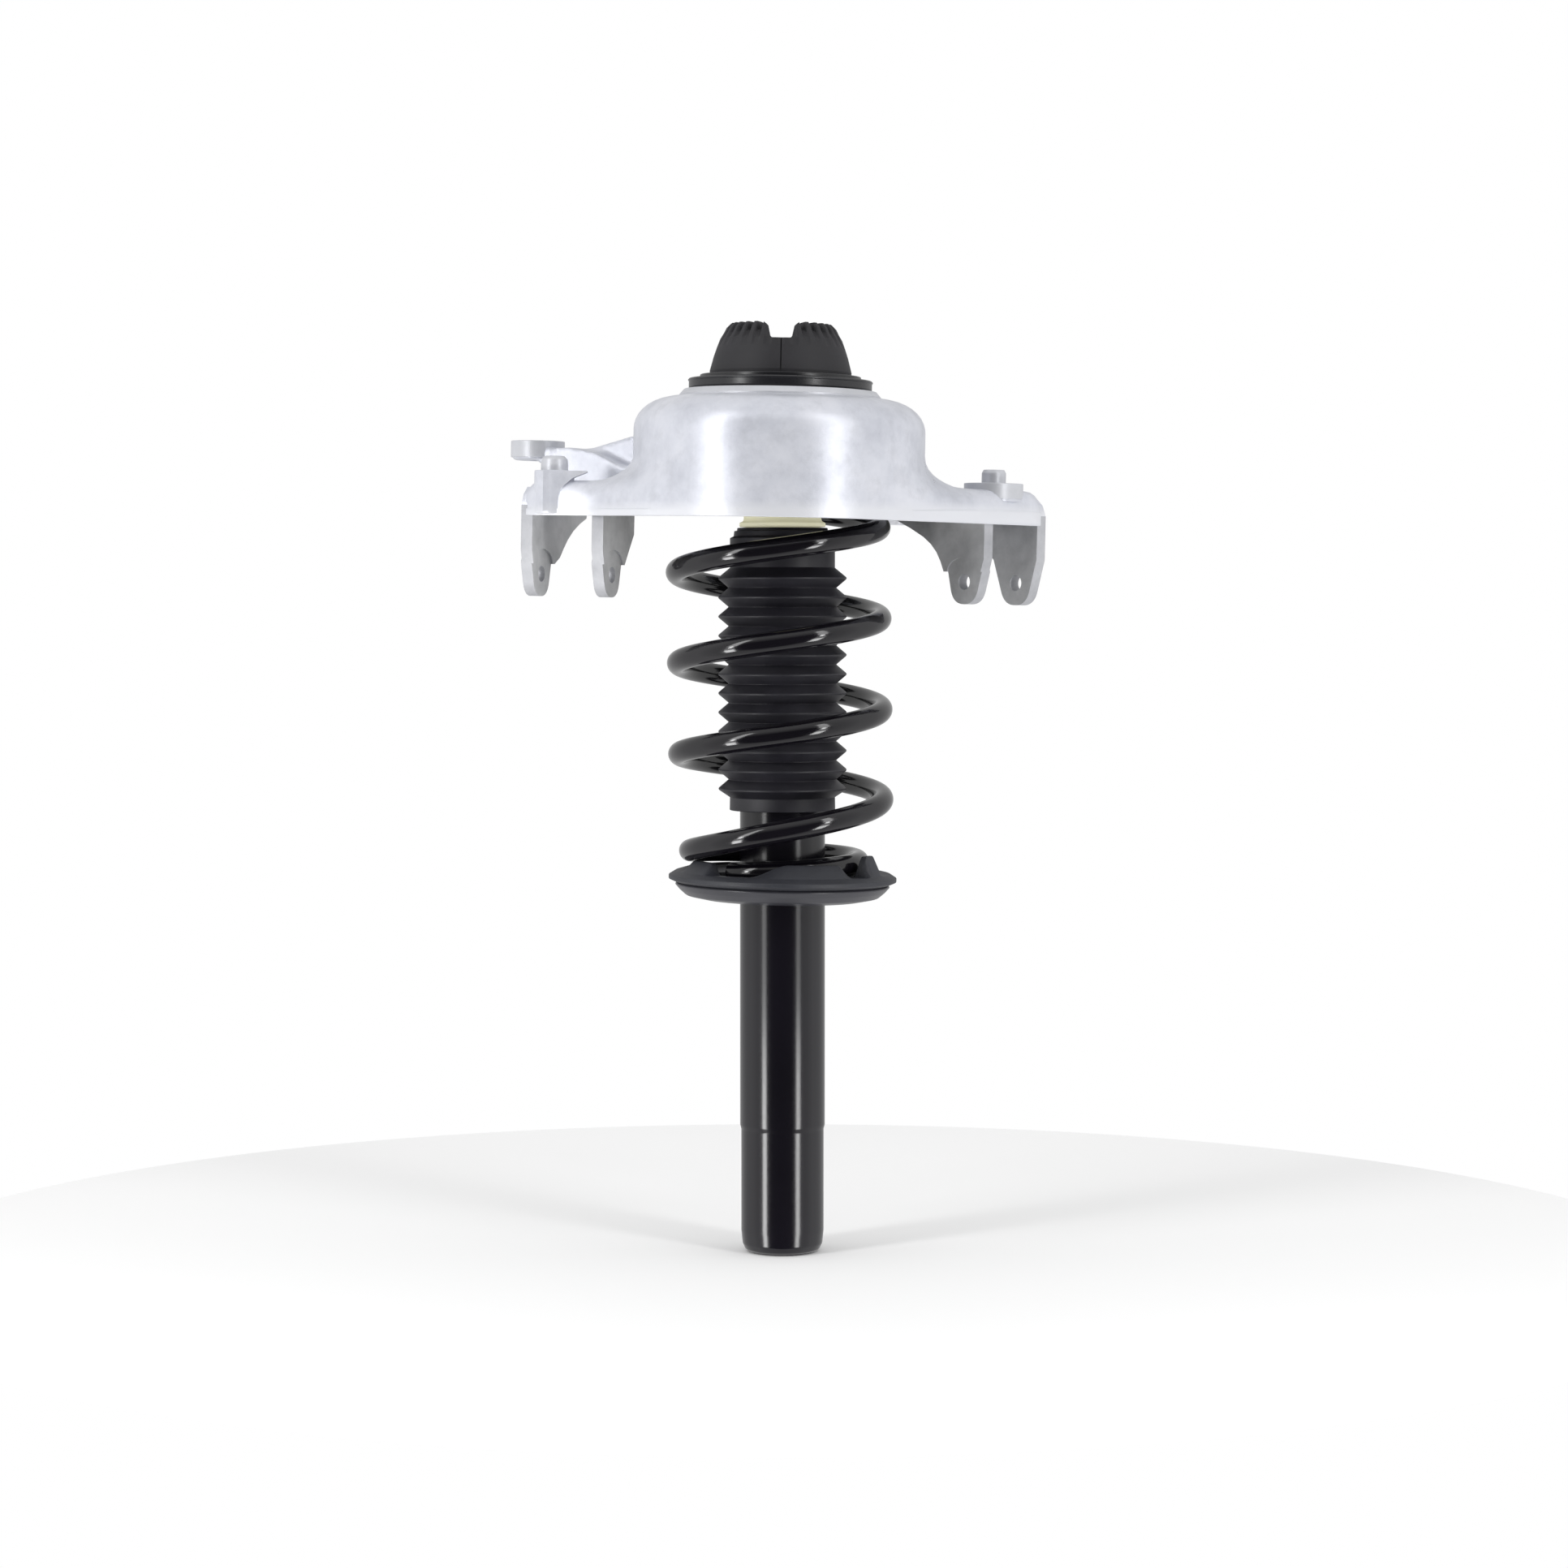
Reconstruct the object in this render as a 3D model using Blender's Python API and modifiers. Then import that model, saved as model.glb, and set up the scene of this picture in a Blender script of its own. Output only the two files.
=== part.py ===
"""Front spring strut with a cast aluminium control-arm bracket.

Metres, +Z up. The origin is the centre of the damper's foot and +Z runs up the damper's axis.
+X runs along the car and +Y points to the wheel.
"""
import math

import bmesh
import bpy
from mathutils import Matrix, Vector

MM = 0.001
GAP = 0.3                      # clearance between pieces that rest on each other, in millimetres

# ---- driving dimensions, in millimetres ----
BRACKET_LEAN_DEG = 1.1         # the bracket sits slightly askew on the damper's axis
SEAT_LEAN_DEG = 1.1            # so does the lower spring seat
BRACKET_PIVOT = (0.0, 0.0, 540.0)
BRACKET_AT = (-1.8, 0.0, 540.0)   # where the bracket's pivot lies: its axis is off the damper's
SEAT_PIVOT = (0.0, 0.0, 240.0)

ROUND_STEPS = 30
SMALL_STEPS = 16

TUBE_R = 27.75
TUBE_LOWER_R = 27.0            # the foot of the tube is sized for a clamp
TUBE_WALL = 2.5
TUBE_TOP = 330.0
CLAMP_TOP = 81.0
FOOT_HOLE_R = 22.5
INNER_TUBE_R = 19.5
INNER_TUBE_WALL = 1.5
ROD_R = 7.0
ROD_STUD_R = 6.0
ROD_SHOULDER = 538.0
ROD_TOP = 584.0
PISTON_Z = (262.0, 274.0)
GUIDE_Z = (300.3, 321.5)

WIRE_R = 7.15
COIL_R = 66.2
COIL_START_DEG = 229.0
COIL_END_DEG = 2210.0
COIL_TOP_Z = 505.2
STOP_ROOM_DEG = 14.0           # between the wire's cut end and the seat's stop
POINTS_PER_TURN = 16

BOOT_R = 34.2
BOOT_TIP_R = 41.9
BOOT_ROOT_R = 35.2
BOOT_WALL = 1.5
BOOT_TOP = 472.2
BOOT_CUFF_Z = (288.6, 297.0)
PLEATS = 12
TOP_TIP_Z = 439.6
PLEAT_PITCH = 12.47

DOME_R = 94.8
DOME_WALL = 6.5
BASE_Z = 477.4                 # the bracket's lower edge
ARM_TOP_Z = 500.5
ARM_FILLET = 15.0
ARM_EDGE_R = 11.0
ARM_EDGE_DROP = 14.0
RING_R = 65.0
RING_TOP_Z = 561.0
ROOF_Z = 559.0
MOUNT_HOLE_R = 50.5
LOFT_SECTIONS = 90

EAR_THICK = 8.0
EAR_GAP = 50.0                 # centre to centre of a clevis's two ears
EAR_BOLT_Z = 439.6
EAR_BOLT_U = 18.5              # bolt hole's distance behind the ear's front edge
EAR_TAB_R = 15.0
EAR_HOLE_R = 5.2
EAR_TOP_Z = 496.0
LEFT_EAR_FRONT = (-162.9, -5.0)
LEFT_EAR_HEADING_DEG = 69.5    # direction from an ear's front edge to its back, from +X
RIGHT_EAR_FRONT = (137.3, 1.5)
RIGHT_EAR_HEADING_DEG = 133.0

BODY_HOLE_R = 5.2
REAR_BOSS = (-161.7, 75.0)
REAR_BOSS_R = 18.0
REAR_BOSS_Z = (513.5, 528.5)
FRONT_BOSS = (-145.5, -4.5)
FRONT_BOSS_R = 13.0
FRONT_PAD_Z = 506.5
FRONT_PIN_R = 8.8
FRONT_PIN_TOP = 516.0
RIGHT_BOSS = (141.3, 27.0)
RIGHT_BOSS_R = 19.5
RIGHT_PAD_Z = 504.5
RIGHT_PIN_R = 8.0
RIGHT_PIN_TOP = 513.5

# The casting's plan outline at its lower edge, anticlockwise from the right arm's front wall.
PLAN = (
    (65.6, -69.4), (177.4, 36.5), (120.6, 100.0), (84.0, 94.0), (45.0, 84.0),
    (-45.0, 84.0), (-84.0, 80.0), (-137.4, 75.4), (-166.8, -6.0), (-119.0, -27.0),
    (-85.0, -55.0), (-55.0, -77.0),
)

FLANGE_R = 60.0
PLATE_R = 52.3
CONE_TEETH = 30
TOOTH_TOP_Z = 604.0
TOOTH_ROOT_Z = 600.0
NOTCH_FLOOR_Z = 593.0
NOTCH_WIDTHS = (13.4, 21.0)    # at the floor and at the top


# ---- scene helpers ----

def clear_scene():
    for obj in list(bpy.data.objects):
        bpy.data.objects.remove(obj)


def new_collection(name):
    made = bpy.data.collections.new(name)
    bpy.context.scene.collection.children.link(made)
    return made


def new_empty(name, place, lean_deg):
    """An empty that leans about +Y at a place given in millimetres."""
    empty = bpy.data.objects.new(name, None)
    empty.location = Vector(place) * MM
    empty.rotation_euler = (0.0, math.radians(lean_deg), 0.0)
    PARTS.objects.link(empty)
    return empty


def lean_with(obj, empty, pivot):
    obj.parent = empty
    obj.location = Vector(pivot) * -MM
    return obj


def material(name, colour, roughness, metallic):
    made = bpy.data.materials.new(name)
    made.use_nodes = True
    shader = made.node_tree.nodes["Principled BSDF"]
    shader.inputs["Base Color"].default_value = (*colour, 1.0)
    shader.inputs["Roughness"].default_value = roughness
    shader.inputs["Metallic"].default_value = metallic
    return made


def add_piece(name, mesh, look):
    obj = bpy.data.objects.new(name, mesh)
    PARTS.objects.link(obj)
    mesh.materials.append(look)
    mesh.shade_smooth()
    mesh.set_sharp_from_angle(angle=math.radians(35))
    return obj


def add_cutter(name, mesh, collection):
    obj = bpy.data.objects.new(name, mesh)
    collection.objects.link(obj)
    obj.hide_render = True
    obj.display_type = "WIRE"
    return obj


def turned(name, profile, look, steps=SMALL_STEPS):
    """A body turned about the Z axis. The profile runs out and down, and closes back up if it is a ring."""
    mesh = bpy.data.meshes.new(name)
    points = [(r * MM, 0.0, z * MM) for r, z in profile]
    edges = [(i, i + 1) for i in range(len(points) - 1)]
    if profile[0][0] > 0:
        edges.append((len(points) - 1, 0))
    mesh.from_pydata(points, edges, [])
    obj = add_piece(name, mesh, look)
    screw = obj.modifiers.new("Turn", "SCREW")
    screw.axis = "Z"
    screw.steps = steps
    screw.render_steps = steps
    screw.use_merge_vertices = True
    screw.merge_threshold = 0.00001
    screw.use_smooth_shade = True
    return obj


def looped_mesh(name, sections):
    """A closed ring-shaped mesh through closed sections, each going down its outer side."""
    bm = bmesh.new()
    rings = [[bm.verts.new(Vector(p) * MM) for p in section] for section in sections]
    count = len(rings[0])
    for i, ring in enumerate(rings):
        following = rings[(i + 1) % len(rings)]
        for k in range(count):
            m = (k + 1) % count
            bm.faces.new((ring[k], ring[m], following[m], following[k]))
    mesh = bpy.data.meshes.new(name)
    bm.to_mesh(mesh)
    bm.free()
    return mesh


def polar_sections(profile_at, count):
    """Sections of a ring whose (r, z) profile depends on the angle about the Z axis."""
    sections = []
    for i in range(count):
        angle = 2 * math.pi * i / count
        c, s = math.cos(angle), math.sin(angle)
        sections.append([(r * c, r * s, z) for r, z in profile_at(angle)])
    return sections


def prism_mesh(name, outline, holes, half_thick):
    """A flat outline with holes, extruded both ways along local Z, as a closed mesh."""
    curve = bpy.data.curves.new(name, "CURVE")
    curve.dimensions = "2D"
    curve.fill_mode = "BOTH"
    curve.extrude = half_thick * MM
    for loop in (outline, *holes):
        spline = curve.splines.new("POLY")
        spline.points.add(len(loop) - 1)
        for point, (x, y) in zip(spline.points, loop):
            point.co = (x * MM, y * MM, 0.0, 1.0)
        spline.use_cyclic_u = True
    return mesh_from_curve(name, curve)


def mesh_from_curve(name, curve):
    guide = bpy.data.objects.new(name + "_guide", curve)
    bpy.context.scene.collection.objects.link(guide)
    evaluated = guide.evaluated_get(bpy.context.evaluated_depsgraph_get())
    mesh = bpy.data.meshes.new_from_object(evaluated)
    bpy.data.objects.remove(guide)
    bm = bmesh.new()
    bm.from_mesh(mesh)
    bmesh.ops.remove_doubles(bm, verts=bm.verts, dist=0.000001)
    bmesh.ops.recalc_face_normals(bm, faces=bm.faces)
    bm.to_mesh(mesh)
    bm.free()
    return mesh


def arc(cx, cy, radius, start_deg, end_deg, steps):
    turn = (end_deg - start_deg) / steps
    angles = [math.radians(start_deg + turn * i) for i in range(steps + 1)]
    return [(cx + radius * math.cos(a), cy + radius * math.sin(a)) for a in angles]


def cylinder_mesh(name, at, radius, low, high, top_radius=None, segments=24):
    bm = bmesh.new()
    bmesh.ops.create_cone(
        bm, cap_ends=True, segments=segments, radius1=radius * MM,
        radius2=(top_radius or radius) * MM, depth=(high - low) * MM,
    )
    bmesh.ops.translate(bm, verts=bm.verts, vec=Vector((*at, (low + high) / 2)) * MM)
    mesh = bpy.data.meshes.new(name)
    bm.to_mesh(mesh)
    bm.free()
    return mesh


def boolean(obj, name, operation, collection):
    cut = obj.modifiers.new(name, "BOOLEAN")
    cut.operation = operation
    cut.operand_type = "COLLECTION"
    cut.collection = collection
    cut.solver = "EXACT"


# ---- bracket casting ----

def ray_to_plan(angle):
    """Distance from the axis to the plan outline, never inside the dome."""
    c, s = math.cos(angle), math.sin(angle)
    best = DOME_R
    for (ax, ay), (bx, by) in zip(PLAN, PLAN[1:] + PLAN[:1]):
        ex, ey = bx - ax, by - ay
        cross = c * ey - s * ex
        if abs(cross) < 1e-9:
            continue
        reach = (ax * ey - ay * ex) / cross
        along = (ax * s - ay * c) / cross
        if reach > 0 and 0 <= along <= 1:
            best = max(best, reach)
    return best


def plan_radius(angle):
    """The outline's radius, averaged over a few degrees so that its corners are round."""
    offsets = [math.radians(d) for d in (-2, -1, 0, 1, 2)]
    return sum(ray_to_plan(angle + o) for o in offsets) / len(offsets)


def casting_profile(angle):
    outer = plan_radius(angle)
    reach = outer - DOME_R
    fillet = min(ARM_FILLET, reach)
    edge = min(ARM_EDGE_R, reach / 2)
    top = ARM_TOP_Z
    wall = DOME_WALL
    inner = outer - wall * (1.0 + min(reach, 60.0) / 400.0)
    inner_dome = DOME_R - wall
    down = [
        (MOUNT_HOLE_R, RING_TOP_Z), (RING_R, RING_TOP_Z), (RING_R + 0.4, ROOF_Z),
        (78.0, 555.2), (86.5, 551.0), (92.2, 544.5), (DOME_R, 533.0),
        (DOME_R, top + ARM_FILLET), (DOME_R + fillet * 0.3, top + ARM_FILLET * 0.3),
        (DOME_R + fillet, top), (outer - edge, top - 0.5), (outer - edge * 0.3, top - ARM_EDGE_DROP * 0.35),
        (outer, top - ARM_EDGE_DROP), (outer, BASE_Z),
    ]
    up = [
        (inner, BASE_Z), (inner, top - ARM_EDGE_DROP), (inner - edge, top - wall),
        (min(inner_dome + fillet, inner - edge * 0.9), top - wall + 0.3),
        (inner_dome, top + ARM_FILLET - wall), (inner_dome, 533.0), (86.0, 541.0),
        (76.0, 547.5), (MOUNT_HOLE_R, 550.0),
    ]
    return down + up


def ear_outline(flared):
    """An ear's side view: u runs back from its front edge, v is the height."""
    back_u = EAR_BOLT_U + EAR_TAB_R
    front = [(0.0, 454.0), (0.0, 486.0), (8.0, EAR_TOP_Z)]
    if flared:
        back = [(84.0, EAR_TOP_Z), (84.0, 480.0), (67.0, 471.6), (54.0, 465.5), (46.5, 458.0), (40.0, 449.0)]
    else:
        back = [(58.0, EAR_TOP_Z), (54.5, 477.0), (42.0, 454.0)]
    tab = arc(EAR_BOLT_U, EAR_BOLT_Z, EAR_TAB_R, 0, -180, 10)
    return front + back + [(back_u, EAR_BOLT_Z)] + tab[1:]


def ear_mesh(name, front, heading_deg, flared):
    hole = arc(EAR_BOLT_U, EAR_BOLT_Z, EAR_HOLE_R, 0, 345, 23)
    mesh = prism_mesh(name, ear_outline(flared), [hole], EAR_THICK / 2)
    along = Vector((math.cos(math.radians(heading_deg)), math.sin(math.radians(heading_deg)), 0.0))
    up = Vector((0.0, 0.0, 1.0))
    across = along.cross(up)
    place = Matrix((along, up, across)).transposed().to_4x4()
    place.translation = Vector((*front, 0.0)) * MM
    mesh.transform(place)
    return mesh


def ear_fronts(first, heading_deg):
    """Front edges of a clevis's two ears, EAR_GAP apart across the ears' faces."""
    turn = math.radians(heading_deg)
    across = (math.sin(turn), -math.cos(turn))
    return first, (first[0] + across[0] * EAR_GAP, first[1] + across[1] * EAR_GAP)


def rear_beam_mesh():
    """The raised beam from the dome to the rear boss, as a side view extruded across."""
    start = DOME_R - DOME_WALL + 2.0
    side = [(start, 497.0), (start, 533.0), (112.0, 532.0), (140.0, 524.5), (172.0, 524.0),
            (172.0, 515.5), (160.0, 509.0), (145.0, 497.0)]
    mesh = prism_mesh("rear_beam", side, [], 13.0)
    heading = Vector((*REAR_BOSS, 0.0)).normalized()
    up = Vector((0.0, 0.0, 1.0))
    mesh.transform(Matrix((heading, up, heading.cross(up))).transposed().to_4x4())
    return mesh


def build_bracket(look):
    mesh = looped_mesh("mount_bracket", polar_sections(casting_profile, LOFT_SECTIONS))
    bracket = add_piece("mount_bracket", mesh, look)
    left = ear_fronts(LEFT_EAR_FRONT, LEFT_EAR_HEADING_DEG)
    right = ear_fronts(RIGHT_EAR_FRONT, RIGHT_EAR_HEADING_DEG)
    joined = [
        ear_mesh("left_outer_ear", left[0], LEFT_EAR_HEADING_DEG, True),
        ear_mesh("left_inner_ear", left[1], LEFT_EAR_HEADING_DEG, False),
        ear_mesh("right_inner_ear", right[0], RIGHT_EAR_HEADING_DEG, True),
        ear_mesh("right_outer_ear", right[1], RIGHT_EAR_HEADING_DEG, True),
        rear_beam_mesh(),
        cylinder_mesh("rear_boss", REAR_BOSS, REAR_BOSS_R, *REAR_BOSS_Z),
        cylinder_mesh("front_boss", FRONT_BOSS, FRONT_BOSS_R, BASE_Z + 1.0, FRONT_PAD_Z),
        cylinder_mesh("front_pin", FRONT_BOSS, FRONT_PIN_R, FRONT_PAD_Z - 2.0, FRONT_PIN_TOP, FRONT_PIN_R - 1.5),
        cylinder_mesh("right_boss", RIGHT_BOSS, RIGHT_BOSS_R, ARM_TOP_Z - 16.0, RIGHT_PAD_Z),
        cylinder_mesh("right_pin", RIGHT_BOSS, RIGHT_PIN_R, RIGHT_PAD_Z - 2.0, RIGHT_PIN_TOP, RIGHT_PIN_R - 1.0),
    ]
    for made in joined:
        lean_with(add_cutter(made.name, made, ADDED), BRACKET_AXIS, BRACKET_PIVOT)
    drilled = [
        cylinder_mesh("rear_bolt_hole", REAR_BOSS, BODY_HOLE_R, REAR_BOSS_Z[0] - 12.0, REAR_BOSS_Z[1] + 5.0),
        cylinder_mesh("front_bolt_hole", FRONT_BOSS, BODY_HOLE_R, FRONT_PAD_Z - 21.0, FRONT_PIN_TOP + 5.0),
        cylinder_mesh("right_bolt_hole", RIGHT_BOSS, BODY_HOLE_R, ARM_TOP_Z - 24.0, RIGHT_PIN_TOP + 5.0),
    ]
    for made in drilled:
        lean_with(add_cutter(made.name, made, DRILLED), BRACKET_AXIS, BRACKET_PIVOT)
    boolean(bracket, "Join", "UNION", ADDED)
    boolean(bracket, "Drill", "DIFFERENCE", DRILLED)
    lean_with(bracket, BRACKET_AXIS, BRACKET_PIVOT)


# ---- top mount ----

def build_flange(look):
    profile = [
        (47.3, 568.0), (FLANGE_R - 1.2, 568.0), (FLANGE_R, 566.8), (FLANGE_R, 562.6), (FLANGE_R - 1.4, 561.3),
        (50.2, 561.3), (50.2, 551.0), (47.3, 551.0),
    ]
    lean_with(turned("mount_flange_ring", profile, look, ROUND_STEPS), BRACKET_AXIS, BRACKET_PIVOT)


def build_locking_plate(look):
    plate = turned("mount_locking_plate", [
        (47.3, 570.6), (PLATE_R, 570.6), (PLATE_R, 568.3), (47.3, 568.3),
    ], look, ROUND_STEPS)
    lean_with(plate, BRACKET_AXIS, BRACKET_PIVOT)


def rubber_profile(angle):
    """The mount's rubber: a serrated cone above the flange and a bushing below it."""
    phase = (angle * CONE_TEETH / (2 * math.pi)) % 1.0
    top = TOOTH_TOP_Z if phase < 0.5 else TOOTH_ROOT_Z
    return [
        (22.5, top - 1.0), (32.5, top), (36.6, TOOTH_ROOT_Z - 3.0), (39.2, 594.0), (41.2, 590.5),
        (43.4, 584.0), (46.6, 571.0), (46.6, 552.0), (41.0, 547.6), (19.0, 547.6), (16.6, 550.0),
        (16.6, 562.5), (22.5, 564.5),
    ]


def build_rubber(look):
    mesh = looped_mesh("mount_rubber", polar_sections(rubber_profile, 2 * CONE_TEETH))
    rubber = add_piece("mount_rubber", mesh, look)
    low, high = NOTCH_WIDTHS
    outline = [(-low / 2, NOTCH_FLOOR_Z), (low / 2, NOTCH_FLOOR_Z), (high / 2, 606.0), (-high / 2, 606.0)]
    notch = prism_mesh("cone_notch", outline, [], 60.0)
    notch.transform(Matrix.Rotation(math.radians(90), 4, "X"))
    lean_with(add_cutter("cone_notch", notch, NOTCHED), BRACKET_AXIS, BRACKET_PIVOT)
    boolean(rubber, "Notch", "DIFFERENCE", NOTCHED)
    lean_with(rubber, BRACKET_AXIS, BRACKET_PIVOT)


def hex_nut_mesh(name, across_flats, hole_r, low, high):
    outline = arc(0.0, 0.0, across_flats / math.sqrt(3), 0, 300, 5)
    hole = arc(0.0, 0.0, hole_r, 0, 342, 19)
    mesh = prism_mesh(name, outline, [hole], (high - low) / 2)
    mesh.transform(Matrix.Translation((0.0, 0.0, (low + high) / 2 * MM)))
    return mesh


def build_rod_top(steel, plated):
    bore = ROD_STUD_R + GAP
    turned("mount_core", [
        (bore, 566.0), (13.0, 566.0), (13.0, 545.8), (26.0, 544.8), (26.0, 541.7), (bore, 541.7),
    ], steel)
    turned("top_washer", [(bore, 568.8), (19.0, 568.8), (19.0, 566.3), (bore, 566.3)], plated)
    add_piece("rod_nut", hex_nut_mesh("rod_nut", 18.0, bore, 569.1, 579.0), plated)


# ---- spring and its upper seat ----

def build_upper_seat(paint, rubber):
    bore = ROD_STUD_R + GAP
    turned("upper_spring_plate", [
        (bore, 541.3), (31.0, 541.3), (37.5, 538.0), (54.0, 523.5), (60.0, 521.3), (78.5, 521.3),
        (81.0, 519.0), (81.0, 511.0), (78.6, 511.0), (78.6, 518.0), (60.0, 518.8), (52.5, 521.0),
        (36.0, 535.6), (30.0, 538.5), (bore, 538.5),
    ], paint, ROUND_STEPS)
    turned("upper_spring_insulator", [
        (56.0, 518.4), (77.0, 517.8), (77.6, 512.0), (74.4, 508.0), (72.0, 512.7), (58.0, 512.7), (55.0, 515.0),
    ], rubber, ROUND_STEPS)


def coil_height(turn_deg):
    """Height of the wire's centre: nearly flat at the seats, and about 59 mm a turn between them."""
    stations = (
        (229.0, 250.0), (360.0, 255.0), (450.0, 259.2), (540.0, 264.9), (630.0, 278.5), (720.0, 296.2),
        (900.0, 325.0), (1080.0, 354.6), (1440.0, 413.8), (1800.0, 472.6), (1960.0, 498.0),
        (2040.0, 504.4), (2090.0, COIL_TOP_Z), (COIL_END_DEG, COIL_TOP_Z),
    )
    for (a, za), (b, zb) in zip(stations, stations[1:]):
        if turn_deg <= b:
            return za + (zb - za) * (turn_deg - a) / (b - a)
    return COIL_TOP_Z


def coil_radius(turn_deg):
    """The lowest turn winds in to sit in the lower seat."""
    stations = ((229.0, 48.0), (360.0, 49.8), (540.0, 59.6), (700.0, COIL_R), (COIL_END_DEG, COIL_R))
    for (a, ra), (b, rb) in zip(stations, stations[1:]):
        if turn_deg <= b:
            return ra + (rb - ra) * (turn_deg - a) / (b - a)
    return COIL_R


def smoothed(rule, turn_deg):
    """A rule averaged over 60 degrees of the coil, without leaving its ends."""
    reach = min(30.0, turn_deg - COIL_START_DEG, COIL_END_DEG - turn_deg)
    return (rule(turn_deg - reach) + 2 * rule(turn_deg) + rule(turn_deg + reach)) / 4


def build_spring(look):
    turns = (COIL_END_DEG - COIL_START_DEG) / 360
    count = round(turns * POINTS_PER_TURN)
    curve = bpy.data.curves.new("coil_spring", "CURVE")
    curve.dimensions = "3D"
    curve.bevel_depth = WIRE_R * MM
    curve.bevel_resolution = 2
    curve.use_fill_caps = True
    spline = curve.splines.new("POLY")
    spline.points.add(count)
    for i, point in enumerate(spline.points):
        turn = COIL_START_DEG + (COIL_END_DEG - COIL_START_DEG) * i / count
        radius, height = smoothed(coil_radius, turn), smoothed(coil_height, turn)
        sway = -0.8 - 2.2 * max(0.0, min(1.0, (height - 290.0) / 180.0))
        angle = math.radians(turn)
        x, y = radius * math.cos(angle) + sway, radius * math.sin(angle)
        point.co = (x * MM, y * MM, height * MM, 1.0)
    add_piece("coil_spring", mesh_from_curve("coil_spring", curve), look)


# ---- bump stop and dust boot ----

def build_bump_stop(foam, paint):
    bore = ROD_R + 0.6
    turned("bump_stop_cup", [
        (bore, 538.2), (22.0, 538.2), (28.0, 534.5), (28.0, 502.0), (26.2, 502.0), (26.2, 533.0),
        (21.2, 536.0), (bore, 536.0),
    ], paint, 24)
    turned("bump_stop", [
        (bore, 535.6), (20.8, 535.6), (25.2, 531.5), (25.2, 476.5), (28.0, 475.0), (28.0, 472.8),
        (23.0, 472.5), (20.5, 466.0), (18.0, 455.0), (21.0, 446.0), (16.5, 436.0), (19.0, 426.0),
        (12.5, 412.0), (bore, 412.0),
    ], foam, 24)


def build_boot(look):
    inner = BOOT_R - BOOT_WALL
    outer_side = [(23.6, BOOT_TOP), (30.0, BOOT_TOP), (31.0, 468.4), (BOOT_R, 466.0), (BOOT_R, 447.0)]
    inner_side = [(23.6, BOOT_TOP - BOOT_WALL), (inner, 464.6), (inner, 447.0)]
    for i in range(PLEATS):
        tip = TOP_TIP_Z - PLEAT_PITCH * i
        root = tip - PLEAT_PITCH / 2
        outer_side += [(BOOT_TIP_R, tip), (BOOT_ROOT_R, root)]
        inner_side += [(BOOT_TIP_R - BOOT_WALL * 1.3, tip), (BOOT_ROOT_R - BOOT_WALL * 1.3, root)]
    cuff_low, cuff_high = BOOT_CUFF_Z
    outer_side = outer_side[:-1] + [(BOOT_R + 0.25, cuff_high), (BOOT_R + 0.25, cuff_low)]
    inner_side = inner_side[:-1] + [(inner, cuff_high - 1.0), (TUBE_R + 0.55, cuff_low + 2.5), (TUBE_R + 0.55, cuff_low)]
    turned("dust_boot", outer_side + inner_side[::-1], look, 20)


# ---- damper ----

def build_rod(chrome, steel, band, plated):
    stud = 5.0
    piston_low, piston_high = PISTON_Z
    turned("piston_rod", [
        (0.0, ROD_TOP), (ROD_STUD_R - 0.8, ROD_TOP), (ROD_STUD_R, ROD_TOP - 1.0), (ROD_STUD_R, ROD_SHOULDER),
        (ROD_R, ROD_SHOULDER), (ROD_R, 277.5), (stud, 277.5), (stud, 248.0), (0.0, 248.0),
    ], chrome)
    turned("rebound_stop", [
        (ROD_R + GAP, 299.7), (15.0, 299.7), (15.0, 291.0), (ROD_R + GAP, 291.0),
    ], band)
    bore = stud + GAP
    turned("piston", [
        (bore, piston_high), (17.6, piston_high), (17.6, 272.0), (15.8, 272.0), (15.8, 264.0), (17.6, 264.0),
        (17.6, piston_low), (bore, piston_low),
    ], steel, 24)
    turned("piston_band", [(16.1, 271.7), (17.75, 271.7), (17.75, 264.3), (16.1, 264.3)], band, 24)
    turned("piston_valve_shims", [
        (bore, 261.7), (15.0, 261.7), (15.0, 261.2), (12.5, 260.7), (9.5, 259.6), (bore, 259.6),
    ], plated)
    add_piece("piston_nut", hex_nut_mesh("piston_nut", 17.0, bore, 251.0, 259.3), plated)


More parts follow.
